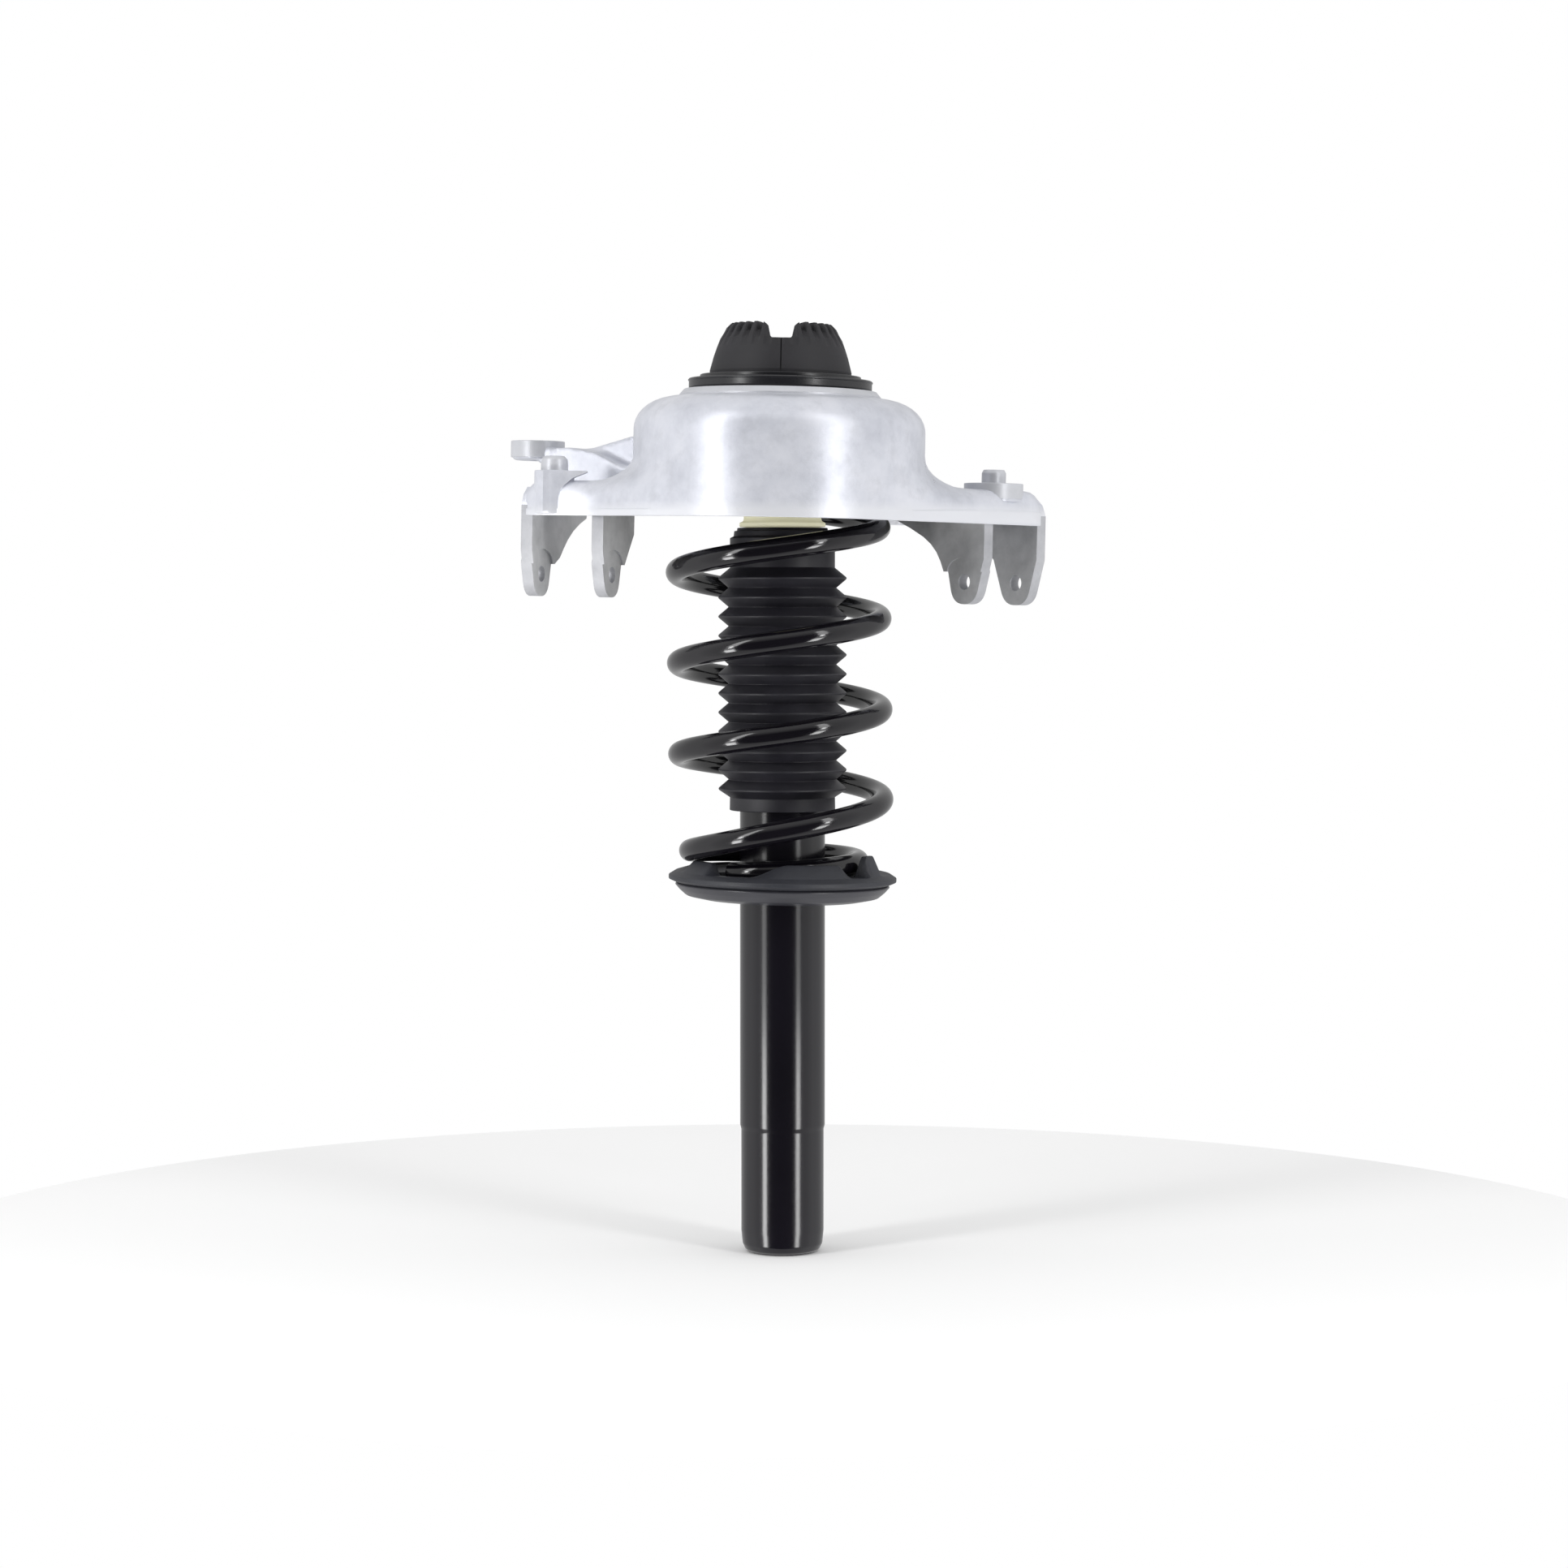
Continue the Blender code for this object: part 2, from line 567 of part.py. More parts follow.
def build_tube(paint, steel, rubber, plated):
    inside = TUBE_R - TUBE_WALL
    turned("outer_tube", [
        (inside, TUBE_TOP), (TUBE_R, TUBE_TOP), (TUBE_R, CLAMP_TOP + 1.5), (TUBE_LOWER_R, CLAMP_TOP - 1.5),
        (TUBE_LOWER_R, 13.0), (26.2, 4.6), (24.8, 1.4), (FOOT_HOLE_R + 0.6, 0.0), (FOOT_HOLE_R, 0.0), (FOOT_HOLE_R, 2.9),
        (24.5, 2.9), (24.5, CLAMP_TOP - 1.5), (inside, CLAMP_TOP + 1.5),
    ], paint, ROUND_STEPS)
    turned("base_cap", [
        (0.0, 9.0), (24.1, 9.0), (24.1, 3.2), (FOOT_HOLE_R - GAP, 3.2), (FOOT_HOLE_R - GAP, 0.0), (0.0, 0.0),
    ], steel, ROUND_STEPS)
    turned("base_valve", [
        (3.0, 23.0), (17.4, 23.0), (17.4, 15.2), (22.5, 13.0), (22.5, 9.3), (3.0, 9.3),
    ], steel)
    bore = INNER_TUBE_R - INNER_TUBE_WALL
    turned("inner_tube", [
        (bore, 300.0), (INNER_TUBE_R, 300.0), (INNER_TUBE_R, 15.8), (bore, 15.8),
    ], steel, 24)
    low, high = GUIDE_Z
    turned("rod_guide", [
        (12.8, high), (24.8, high), (24.8, low + 3.0), (22.0, low), (ROD_R + GAP, low), (ROD_R + GAP, 311.0), (12.8, 311.0),
    ], steel, 24)
    turned("rod_seal", [
        (ROD_R + GAP, 326.0), (11.0, 326.0), (12.4, high), (12.4, 311.3), (ROD_R + GAP, 311.3),
    ], rubber)
    cap_low = TUBE_TOP + GAP
    turned("tube_end_cap", [
        (ROD_R + 1.5, cap_low + 2.0), (27.6, cap_low + 2.0), (29.8, cap_low), (29.8, 319.0), (TUBE_R + GAP, 319.0),
        (TUBE_R + GAP, cap_low), (ROD_R + 1.5, cap_low),
    ], plated, ROUND_STEPS)


# ---- lower spring seat ----

def build_pan(paint):
    bore = TUBE_R + 0.5
    pan = turned("lower_spring_pan", [
        (bore, 233.0), (51.0, 233.0), (60.5, 235.3), (65.8, 239.2), (69.0, 240.8), (70.2, 239.4),
        (67.2, 236.0), (62.8, 232.3), (52.0, 230.0), (bore, 229.6),
    ], paint, ROUND_STEPS)
    lean_with(pan, SEAT_AXIS, SEAT_PIVOT)


def ramp_height(angle):
    """The seat's groove climbs under the wire, from the stop at the wire's cut end."""
    turned_deg = (math.degrees(angle) - COIL_START_DEG + STOP_ROOM_DEG) % 360.0
    return 241.2 + 7.8 * min(1.0, max(0.0, turned_deg - STOP_ROOM_DEG) / 190.0)


def raised(angle, middle_deg, half_width_deg):
    """1 around the middle of a raised stretch of the seat's wall, falling to 0 at its two ends."""
    off = abs((math.degrees(angle) - middle_deg + 180.0) % 360.0 - 180.0)
    return max(0.0, min(1.0, 1.6 * (1.0 - off / half_width_deg)))


def insulator_profile(angle):
    """The outer wall has a hump and a wedge at the front right, and a lug at the front left."""
    groove = ramp_height(angle)
    hump = raised(angle, 298.0, 20.0)
    wedge = raised(angle, 328.0, 14.0)
    lug = raised(angle, 200.0, 16.0)
    top = max(248.0 + 8.5 * hump + 13.5 * wedge + 8.0 * lug, groove + 1.5)
    wall = 59.0 + 2.0 * wedge
    return [
        (30.5, 250.0), (36.0, 250.0), (39.5, groove), (56.5, groove), (wall, top), (wall + 3.5, top),
        (70.0, 248.2), (74.4, 245.6), (74.4, 243.6), (70.4, 242.3), (66.0, 240.1), (60.0, 235.9),
        (51.0, 233.4), (30.5, 233.4),
    ]


def build_lower_insulator(look):
    mesh = looped_mesh("lower_spring_insulator", polar_sections(insulator_profile, 40))
    lean_with(add_piece("lower_spring_insulator", mesh, look), SEAT_AXIS, SEAT_PIVOT)


def build_strut():
    aluminium = material("cast_aluminium", (0.62, 0.63, 0.66), 0.4, 1.0)
    paint = material("black_paint", (0.012, 0.012, 0.014), 0.18, 0.0)
    flange_black = material("flange_black", (0.03, 0.03, 0.035), 0.35, 0.0)
    rubber = material("mount_black_rubber", (0.045, 0.045, 0.05), 0.7, 0.0)
    seat_rubber = material("seat_rubber", (0.03, 0.032, 0.04), 0.65, 0.0)
    boot_rubber = material("boot_rubber", (0.02, 0.02, 0.028), 0.55, 0.0)
    foam = material("cream_foam", (0.7, 0.66, 0.4), 0.6, 0.0)
    chrome = material("hard_chrome", (0.6, 0.6, 0.62), 0.12, 1.0)
    steel = material("plain_steel", (0.35, 0.35, 0.37), 0.4, 1.0)
    plated = material("plated_steel", (0.55, 0.54, 0.5), 0.35, 1.0)
    band = material("bearing_plastic", (0.1, 0.09, 0.08), 0.5, 0.0)

    build_bracket(aluminium)
    build_flange(flange_black)
    build_locking_plate(flange_black)
    build_rubber(rubber)
    build_rod_top(steel, plated)
    build_upper_seat(paint, seat_rubber)
    build_spring(paint)
    build_bump_stop(foam, flange_black)
    build_boot(boot_rubber)
    build_rod(chrome, steel, band, plated)
    build_tube(paint, steel, seat_rubber, plated)
    build_pan(paint)
    build_lower_insulator(seat_rubber)


clear_scene()
PARTS = new_collection("strut_assembly")
ADDED = new_collection("bracket_additions")
DRILLED = new_collection("bracket_holes")
NOTCHED = new_collection("cone_cutters")
BRACKET_AXIS = new_empty("bracket_axis", BRACKET_AT, BRACKET_LEAN_DEG)
SEAT_AXIS = new_empty("seat_axis", SEAT_PIVOT, SEAT_LEAN_DEG)
build_strut()
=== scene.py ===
"""The looks of a front suspension strut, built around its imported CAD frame. Metres, +Z up."""
import math

import bmesh
import bpy
from mathutils import Matrix, Vector


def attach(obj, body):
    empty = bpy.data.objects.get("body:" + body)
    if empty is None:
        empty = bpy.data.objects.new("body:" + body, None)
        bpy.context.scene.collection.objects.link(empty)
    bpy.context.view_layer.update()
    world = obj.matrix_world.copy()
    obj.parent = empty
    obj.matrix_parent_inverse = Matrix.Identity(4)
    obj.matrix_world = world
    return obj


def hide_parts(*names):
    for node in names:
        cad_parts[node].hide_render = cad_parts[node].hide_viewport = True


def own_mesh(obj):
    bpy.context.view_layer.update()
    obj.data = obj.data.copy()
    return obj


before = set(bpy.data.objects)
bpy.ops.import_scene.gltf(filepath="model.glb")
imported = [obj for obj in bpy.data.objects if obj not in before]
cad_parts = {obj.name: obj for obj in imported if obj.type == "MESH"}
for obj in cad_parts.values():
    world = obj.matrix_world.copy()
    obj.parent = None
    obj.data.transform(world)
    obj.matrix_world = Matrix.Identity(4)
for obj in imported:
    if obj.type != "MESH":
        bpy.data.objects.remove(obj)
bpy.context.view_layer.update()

MM = 0.001

# ---- shape of the strut, in millimetres, as in the CAD ----
BRACKET_LEAN_DEG = 1.1
SEAT_LEAN_DEG = 1.1
BRACKET_PIVOT = (0.0, 0.0, 540.0)
BRACKET_AT = (-1.8, 0.0, 540.0)
SEAT_PIVOT = (0.0, 0.0, 240.0)

TUBE_R = 27.75
TUBE_LOWER_R = 27.0
TUBE_TOP = 330.0
CLAMP_TOP = 81.0
FOOT_HOLE_R = 22.5

WIRE_R = 7.15
COIL_R = 66.2
COIL_START_DEG = 229.0
COIL_END_DEG = 2210.0
COIL_TOP_Z = 505.2
STOP_ROOM_DEG = 14.0

BOOT_R = 34.2
BOOT_TIP_R = 41.9
BOOT_ROOT_R = 35.2
BOOT_WALL = 1.5
BOOT_TOP = 472.2
BOOT_CUFF_Z = (288.6, 297.0)
PLEATS = 12
TOP_TIP_Z = 439.6
PLEAT_PITCH = 12.47

DOME_R = 94.8
DOME_WALL = 6.5
BASE_Z = 477.4
ARM_TOP_Z = 500.5
ARM_FILLET = 15.0
ARM_EDGE_R = 11.0
ARM_EDGE_DROP = 14.0
FLOW_RISE = 20.0
FLOW_REACH = (30.0, 62.0)
SHOULDER_R = 29.0
WALL_TOP_Z = 534.0
RING_R = 65.0
RING_TOP_Z = 561.0
SHOULDER_TOP_Z = 556.2
MOUNT_HOLE_R = 50.5

EAR_THICK = 8.0
EAR_GAP = 50.0
EAR_BOLT_Z = 439.6
EAR_BOLT_U = 18.5
EAR_HOLE_R = 5.2
EAR_TOP_Z = 496.0
LEFT_EAR_FRONT = (-162.9, -5.0)
LEFT_EAR_HEADING_DEG = 69.5
RIGHT_EAR_FRONT = (137.3, 1.5)
RIGHT_EAR_HEADING_DEG = 133.0

BODY_HOLE_R = 5.2
REAR_BOSS = (-161.7, 75.0)
REAR_BOSS_R = 18.0
REAR_BOSS_Z = (513.5, 528.5)
FRONT_BOSS = (-145.5, -4.5)
FRONT_BOSS_R = 13.0
FRONT_PAD_Z = 506.5
FRONT_PIN_R = 8.8
FRONT_PIN_TOP = 516.0
RIGHT_BOSS = (141.3, 27.0)
RIGHT_BOSS_R = 19.5
RIGHT_PAD_Z = 504.5
RIGHT_PIN_R = 8.0
RIGHT_PIN_TOP = 513.5

PLAN = (
    (65.6, -69.4), (177.4, 36.5), (120.6, 100.0), (84.0, 94.0), (45.0, 84.0),
    (-45.0, 84.0), (-84.0, 80.0), (-137.4, 75.4), (-166.8, -6.0), (-119.0, -27.0),
    (-85.0, -55.0), (-55.0, -77.0),
)

BACK_RISE = 5.0
BACK_MIDDLE_DEG = 107.0
BACK_HALF_DEG = 52.0
BAND_HEIGHT = 4.0
BAND_EXTRA = 4.6                        # more of it on the right arm
BAND_LIP = 0.7
CASTING_VOXEL = 0.0014
SKIRT_INSET = 0.7
SMOOTHING_ROUNDS = 12
FLANK_FACING = 0.94                     # how squarely a face looks across its ear to count as its flank

SHOULDER_Z = 446.2
PLAIN_SHOULDER = (39.2, 455.0)
TAB_DROP = 14.6
TAB_CORNER_R = 12.8
TAB_SIDES = (2.6, 33.4)
TAB_TIP_SIDES = (8.6, 28.4)
ARCH_RISE = 9.6
ARCH_RECESS = 1.2
TAB_PROUD = 0.9
PLAIN_EARS = ("right_b",)               # seen from the front, this one has no arch
RIGHT_EAR_BACK = [
    (84.0, EAR_TOP_Z), (84.0, 481.0), (68.0, 474.6), (56.0, 469.0), (49.0, 464.4), (43.5, 459.0),
]
EAR_BACKS = {
    "left_a": [
        (88.0, EAR_TOP_Z), (88.0, 477.5), (77.0, 473.6), (66.4, 468.6), (57.5, 462.6), (50.7, 456.4),
        (45.0, 450.6),
    ],
    "left_b": [(52.0, EAR_TOP_Z), (51.5, 466.5), (44.0, 456.5)],
    "right_a": [*RIGHT_EAR_BACK, (39.4, 452.6)],
    "right_b": RIGHT_EAR_BACK,
}

FLANGE_BORE_R = 47.3
PLATE_R = 52.3
CONE_TEETH = 30
TOOTH_TOP_Z = 604.0
TOOTH_ROOT_Z = 599.0
TOOTH_FLANK = 2.6
NOTCH_FLOOR_Z = 593.0
NOTCH_HALF = 6.7
MOULD_LINE_HALF = 0.35

BUMP_STOP_BORE_R = 7.6
NOSE_TOP_Z = 465.7
NOSE_TIP_Z = 412.0

# ---- the studio ----
CAMERA_AT = (0.001, -2.47, 0.425)
CAMERA_LOOKS_AT = (0.001, 0.0, 0.3055)
CAMERA_LENS = 87.0
STRIPS = ((-50.0, 1.0), (43.0, 0.85))   # each strip light's degrees from the camera's side, and share
STRIP_DISTANCE = 1.5
STRIP_STRETCHES = (                     # lowest and highest point and width in metres, and brightness
    (-0.70, -0.02, 0.30, 14.0), (-0.02, 0.38, 0.30, 3.0),
    (0.38, 0.72, 0.12, 20.0), (0.72, 2.20, 0.30, 6.0),
)
STUDIO_RING = (                         # brightness of the surroundings by how far they lie behind
    (-0.70, 0.04), (-0.56, 0.75), (0.0, 1.0), (0.45, 0.72), (0.85, 0.62),
)
OVERHEAD = 0.85
FLOOR_R = 0.6


# ---- materials ----

class Nodes:
    """A material's node tree, with short ways to add and join nodes."""

    def __init__(self, name):
        self.material = bpy.data.materials.new(name)
        self.material.use_nodes = True
        self.tree = self.material.node_tree
        self.shader = self.tree.nodes["Principled BSDF"]
        self.place = self.tree.nodes.new("ShaderNodeTexCoord").outputs["Object"]

    def set(self, **values):
        for name, value in values.items():
            self.shader.inputs[name.replace("_", " ")].default_value = value

    def noise(self, scale, detail=4.0, roughness=0.6, stretch=None):
        node = self.tree.nodes.new("ShaderNodeTexNoise")
        node.inputs["Scale"].default_value = scale
        node.inputs["Detail"].default_value = detail
        node.inputs["Roughness"].default_value = roughness
        place = self.place
        if stretch:
            mapping = self.tree.nodes.new("ShaderNodeMapping")
            mapping.inputs["Scale"].default_value = stretch
            self.join(place, mapping.inputs["Vector"])
            place = mapping.outputs["Vector"]
        self.join(place, node.inputs["Vector"])
        return node.outputs["Fac"]

    def ramp(self, value, stops):
        node = self.tree.nodes.new("ShaderNodeValToRGB")
        while len(node.color_ramp.elements) < len(stops):
            node.color_ramp.elements.new(0.5)
        for element, (position, colour) in zip(node.color_ramp.elements, stops):
            element.position = position
            element.color = (*colour, 1.0)
        self.join(value, node.inputs["Fac"])
        return node.outputs["Color"]

    def spread(self, value, low, high, start=0.3, end=0.7):
        """A straight ramp from low to high. High may be another node's output."""
        node = self.tree.nodes.new("ShaderNodeMapRange")
        node.inputs["From Min"].default_value = start
        node.inputs["From Max"].default_value = end
        node.inputs["To Min"].default_value = low
        if isinstance(high, float):
            node.inputs["To Max"].default_value = high
        else:
            self.join(high, node.inputs["To Max"])
        self.join(value, node.inputs["Value"])
        return node.outputs["Result"]

    def mix(self, factor, first, second):
        node = self.tree.nodes.new("ShaderNodeMix")
        node.data_type = "RGBA"
        for value, socket in ((factor, 0), (first, 6), (second, 7)):
            if isinstance(value, (tuple, float)):
                plain = (*value, 1.0) if isinstance(value, tuple) else value
                node.inputs[socket].default_value = plain
            else:
                self.join(value, node.inputs[socket])
        return node.outputs[2]

    def bump(self, *layers):
        """Layers of (height, strength, distance in metres), finest last."""
        normal = None
        for height, strength, distance in layers:
            node = self.tree.nodes.new("ShaderNodeBump")
            node.inputs["Strength"].default_value = strength
            node.inputs["Distance"].default_value = distance
            self.join(height, node.inputs["Height"])
            if normal:
                self.join(normal, node.inputs["Normal"])
            normal = node.outputs["Normal"]
        self.join(normal, self.shader.inputs["Normal"])

    def join(self, output, socket):
        self.tree.links.new(output, socket)

    def to(self, output, name):
        self.join(output, self.shader.inputs[name])


def cast_aluminium(name, tones, roughness, trimmed_band_and_highlight=None):
    """Shot-blasted casting skin, and a brighter band along the trimmed edge that fades out between two
    heights: partly the trimmed finish and partly a painted highlight.
    """
    look = Nodes(name)
    look.set(Metallic=0.25)
    clouds = look.noise(24.0, 6.0, 0.62)
    stains = look.noise(75.0, 5.0, 0.65)
    dark, middle, light = tones
    base = look.ramp(clouds, [(0.32, dark), (0.5, middle), (0.68, light)])
    stain = tuple(c * 0.62 for c in middle)
    skin_colour = look.mix(look.spread(stains, 0.0, 0.30, 0.50, 0.72), base, stain)
    if trimmed_band_and_highlight:
        height = look.tree.nodes.new("ShaderNodeSeparateXYZ")
        look.join(look.place, height.inputs["Vector"])
        low, high, fade = trimmed_band_and_highlight
        above = look.spread(height.outputs["Z"], 1.0, 0.0, high, high + fade)
        edge = look.spread(height.outputs["Z"], 0.0, above, low - fade, low)
        # The band's lighter colour is partly the trimmed finish and partly a painted highlight along the
        # lower edge.
        skin_colour = look.mix(edge, skin_colour, (0.73, 0.74, 0.78))
    look.to(skin_colour, "Base Color")
    look.to(look.spread(clouds, roughness, roughness + 0.10), "Roughness")
    grain = look.noise(1500.0, 3.0, 0.7)
    dimples = look.noise(420.0, 2.0, 0.5)
    look.bump((dimples, 0.12, 0.0006), (grain, 0.20, 0.0003))
    return look.material


def machined_aluminium():
    look = Nodes("machined_aluminium")
    look.set(Metallic=0.3)
    lines = look.noise(120.0, 3.0, 0.6, (1.0, 1.0, 9.0))
    clouds = look.noise(40.0)
    tones = look.ramp(clouds, [(0.3, (0.54, 0.55, 0.58)), (0.7, (0.64, 0.65, 0.69))])
    look.to(tones, "Base Color")
    look.to(look.spread(lines, 0.36, 0.46), "Roughness")
    look.bump((lines, 0.10, 0.0003))
    return look.material


def gloss_black(name, roughness, tint):
    look = Nodes(name)
    peel = look.noise(160.0, 2.0, 0.4)
    dust = look.noise(900.0, 2.0, 0.5)
    faded = tuple(c * 1.5 for c in tint)
    look.to(look.ramp(look.noise(12.0), [(0.3, tint), (0.7, faded)]), "Base Color")
    look.to(look.spread(dust, roughness, roughness + 0.05), "Roughness")
    look.bump((peel, 0.025, 0.0006))
    return look.material


def moulded_rubber(name, tint, roughness, grain_strength):
    look = Nodes(name)
    clouds = look.noise(35.0, 4.0, 0.6)
    grain = look.noise(1400.0, 3.0, 0.7)
    bloom = tuple(c * 1.6 + 0.005 for c in tint)
    look.to(look.ramp(clouds, [(0.3, tint), (0.7, bloom)]), "Base Color")
    look.to(look.spread(clouds, roughness - 0.05, roughness + 0.06), "Roughness")
    look.bump((look.noise(300.0), 0.06, 0.0005), (grain, grain_strength, 0.0002))
    return look.material


def cream_foam():
    look = Nodes("cream_foam_painted_glow")
    clouds = look.noise(60.0)
    cells = look.noise(1800.0, 2.0, 0.6)
    look.to(look.ramp(clouds, [(0.3, (0.90, 0.87, 0.60)), (0.7, (0.95, 0.92, 0.68))]), "Base Color")
    # The emission is a painted glow: the foam lights itself where it sits in the bracket's shade.
    look.set(Roughness=0.62, Emission_Color=(0.95, 0.92, 0.66, 1.0), Emission_Strength=0.30)
    look.bump((cells, 0.25, 0.0002))
    return look.material


def bright_metal(name, base, roughness):
    look = Nodes(name)
    look.set(Metallic=1.0)
    clouds = look.noise(90.0)
    look.to(look.ramp(clouds, [(0.3, tuple(c * 0.85 for c in base)), (0.7, base)]), "Base Color")
    look.to(look.spread(look.noise(500.0), roughness, roughness + 0.08), "Roughness")
    look.bump((look.noise(1000.0), 0.04, 0.0002))
    return look.material


ALUMINIUM = cast_aluminium(
    "cast_aluminium_sand", ((0.52, 0.535, 0.595), (0.635, 0.65, 0.71), (0.715, 0.725, 0.78)), 0.27,
    (0.4765, 0.4820, 0.0065),
)
# Darker copies of the casting for the ears below the arm, one for the flanks and one for the edges: painted
# shade under the arm.
FLANK_PAINTED_SHADE = cast_aluminium(
    "cast_aluminium_flank_painted_shade", ((0.36, 0.365, 0.375), (0.50, 0.505, 0.515), (0.64, 0.64, 0.65)), 0.34,
)
EDGE_PAINTED_SHADE = cast_aluminium(
    "cast_aluminium_edge_painted_shade", ((0.34, 0.345, 0.37), (0.45, 0.455, 0.48), (0.55, 0.555, 0.58)), 0.48,
)
MACHINED = machined_aluminium()
PAINT = gloss_black("gloss_black_paint", 0.15, (0.0035, 0.003, 0.005))
# The pan's paint is lighter than the tube's: a painted reflection of the white floor, which glossy rays
# don't see.
PAN_PAINT = gloss_black("pan_black_paint_painted_reflection", 0.30, (0.026, 0.026, 0.032))
SPRING_PAINT = gloss_black("spring_powder_coat", 0.08, (0.0035, 0.003, 0.0045))
FLANGE_BLACK = gloss_black("flange_semi_gloss", 0.27, (0.011, 0.011, 0.013))
CONE_RUBBER = moulded_rubber("cone_rubber", (0.007, 0.0065, 0.009), 0.62, 0.45)
SEAT_RUBBER = moulded_rubber("seat_rubber_moulded", (0.013, 0.014, 0.019), 0.52, 0.25)
BOOT_RUBBER = moulded_rubber("boot_rubber_moulded", (0.0075, 0.007, 0.011), 0.50, 0.08)
FOAM = cream_foam()
CHROME = bright_metal("rod_chrome", (0.62, 0.62, 0.64), 0.08)
STEEL = bright_metal("plain_steel_turned", (0.40, 0.40, 0.42), 0.32)
PLATED = bright_metal("zinc_plating", (0.60, 0.59, 0.54), 0.28)
BEARING = moulded_rubber("bearing_plastic_moulded", (0.10, 0.09, 0.08), 0.5, 0.1)


# ---- mesh helpers ----

def new_piece(name, mesh, look, sharp_deg=32.0):
    obj = bpy.data.objects.new(name, mesh)
    bpy.context.scene.collection.objects.link(obj)
    mesh.materials.clear()
    mesh.materials.append(look)
    mesh.shade_smooth()
    mesh.set_sharp_from_angle(angle=math.radians(sharp_deg))
    return obj


def ride_on(obj, body, slot, *replaced):
    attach(obj, body)
    if replaced:
        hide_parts(*replaced)
    return obj


def lean_matrix(pivot, place, lean_deg):
    turn = Matrix.Rotation(math.radians(lean_deg), 4, "Y")
    return Matrix.Translation(Vector(place) * MM) @ turn @ Matrix.Translation(Vector(pivot) * -MM)


BRACKET_LEAN = lean_matrix(BRACKET_PIVOT, BRACKET_AT, BRACKET_LEAN_DEG)
SEAT_LEAN = lean_matrix(SEAT_PIVOT, SEAT_PIVOT, SEAT_LEAN_DEG)


def rounded(points, closed=True, steps=5):
    """A profile from (r, z) or (r, z, corner radius) points, with its corners rounded off."""
    out = []
    count = len(points)
    for i, point in enumerate(points):
        corner = Vector(point[:2])
        radius = point[2] if len(point) > 2 else 0.0
        if not radius or (not closed and i in (0, count - 1)):
            out.append(tuple(corner))
            continue
        before = Vector(points[i - 1][:2]) - corner
        after = Vector(points[(i + 1) % count][:2]) - corner
        half = before.angle(after) / 2
        cut = min(radius / math.tan(half), before.length * 0.49, after.length * 0.49)
        a, b = corner + before.normalized() * cut, corner + after.normalized() * cut
        for k in range(steps + 1):
            t = k / steps
            out.append(tuple(a * (1 - t) ** 2 + corner * 2 * t * (1 - t) + b * t * t))
    return out


def looped_mesh(name, sections, matrix=None):
    bm = bmesh.new()
    rings = [[bm.verts.new(Vector(p) * MM) for p in section] for section in sections]
    count = len(rings[0])
    for i, ring in enumerate(rings):
        following = rings[(i + 1) % len(rings)]
        for k in range(count):
            m = (k + 1) % count
            bm.faces.new((ring[k], ring[m], following[m], following[k]))
    return bm_to_mesh(bm, name, matrix)


def bm_to_mesh(bm, name, matrix=None):
    if matrix:
        bmesh.ops.transform(bm, matrix=matrix, verts=bm.verts)
    mesh = bpy.data.meshes.new(name)
    bm.to_mesh(mesh)
    bm.free()
    return mesh


def polar_mesh(name, profile_at, count, matrix=None):
    """A closed ring whose (r, z) profile depends on the angle about the Z axis."""
    sections = []
    for i in range(count):
        angle = 2 * math.pi * i / count
        c, s = math.cos(angle), math.sin(angle)
        sections.append([(r * c, r * s, z) for r, z in profile_at(angle)])
    return looped_mesh(name, sections, matrix)


def turned_mesh(name, points, steps=128, matrix=None, at=(0.0, 0.0)):
    """A turned body: closed if its profile starts and ends on the axis, and otherwise a ring."""
    solid = points[0][0] == 0.0
    profile = rounded(points, closed=not solid)
    if not solid:
        mesh = polar_mesh(name, lambda angle: profile, steps)
    else:
        bm = bmesh.new()
        top = bm.verts.new((0.0, 0.0, profile[0][1] * MM))
        low = bm.verts.new((0.0, 0.0, profile[-1][1] * MM))
        rings = []
        for i in range(steps):
            angle = 2 * math.pi * i / steps
            c, s = math.cos(angle) * MM, math.sin(angle) * MM
            rings.append([bm.verts.new((r * c, r * s, z * MM)) for r, z in profile[1:-1]])
        for i, ring in enumerate(rings):
            following = rings[(i + 1) % steps]
            bm.faces.new((top, ring[0], following[0]))
            bm.faces.new((low, following[-1], ring[-1]))
            for k in range(len(ring) - 1):
                bm.faces.new((ring[k], ring[k + 1], following[k + 1], following[k]))
        mesh = bm_to_mesh(bm, name)
    mesh.transform(Matrix.Translation((at[0] * MM, at[1] * MM, 0.0)))
    if matrix:
        mesh.transform(matrix)
    return mesh


def arc(cx, cy, radius, start_deg, end_deg, steps):
    turn = (end_deg - start_deg) / steps
    angles = [math.radians(start_deg + turn * i) for i in range(steps + 1)]
    return [(cx + radius * math.cos(a), cy + radius * math.sin(a)) for a in angles]


def prism_mesh(name, outline, low, high, matrix=None):
    """A flat outline, anticlockwise, extruded along local Z from low to high."""
    bm = bmesh.new()
    bottom = [bm.verts.new((x * MM, y * MM, low * MM)) for x, y in outline]
    top = [bm.verts.new((x * MM, y * MM, high * MM)) for x, y in outline]
    bm.faces.new(reversed(bottom))
    bm.faces.new(top)
    for i in range(len(outline)):
        m = (i + 1) % len(outline)
        bm.faces.new((bottom[i], bottom[m], top[m], top[i]))
    bmesh.ops.recalc_face_normals(bm, faces=bm.faces)
    return bm_to_mesh(bm, name, matrix)


def joined(name, meshes):
    bm = bmesh.new()
    for mesh in meshes:
        bm.from_mesh(mesh)
        bpy.data.meshes.remove(mesh)
    return bm_to_mesh(bm, name)


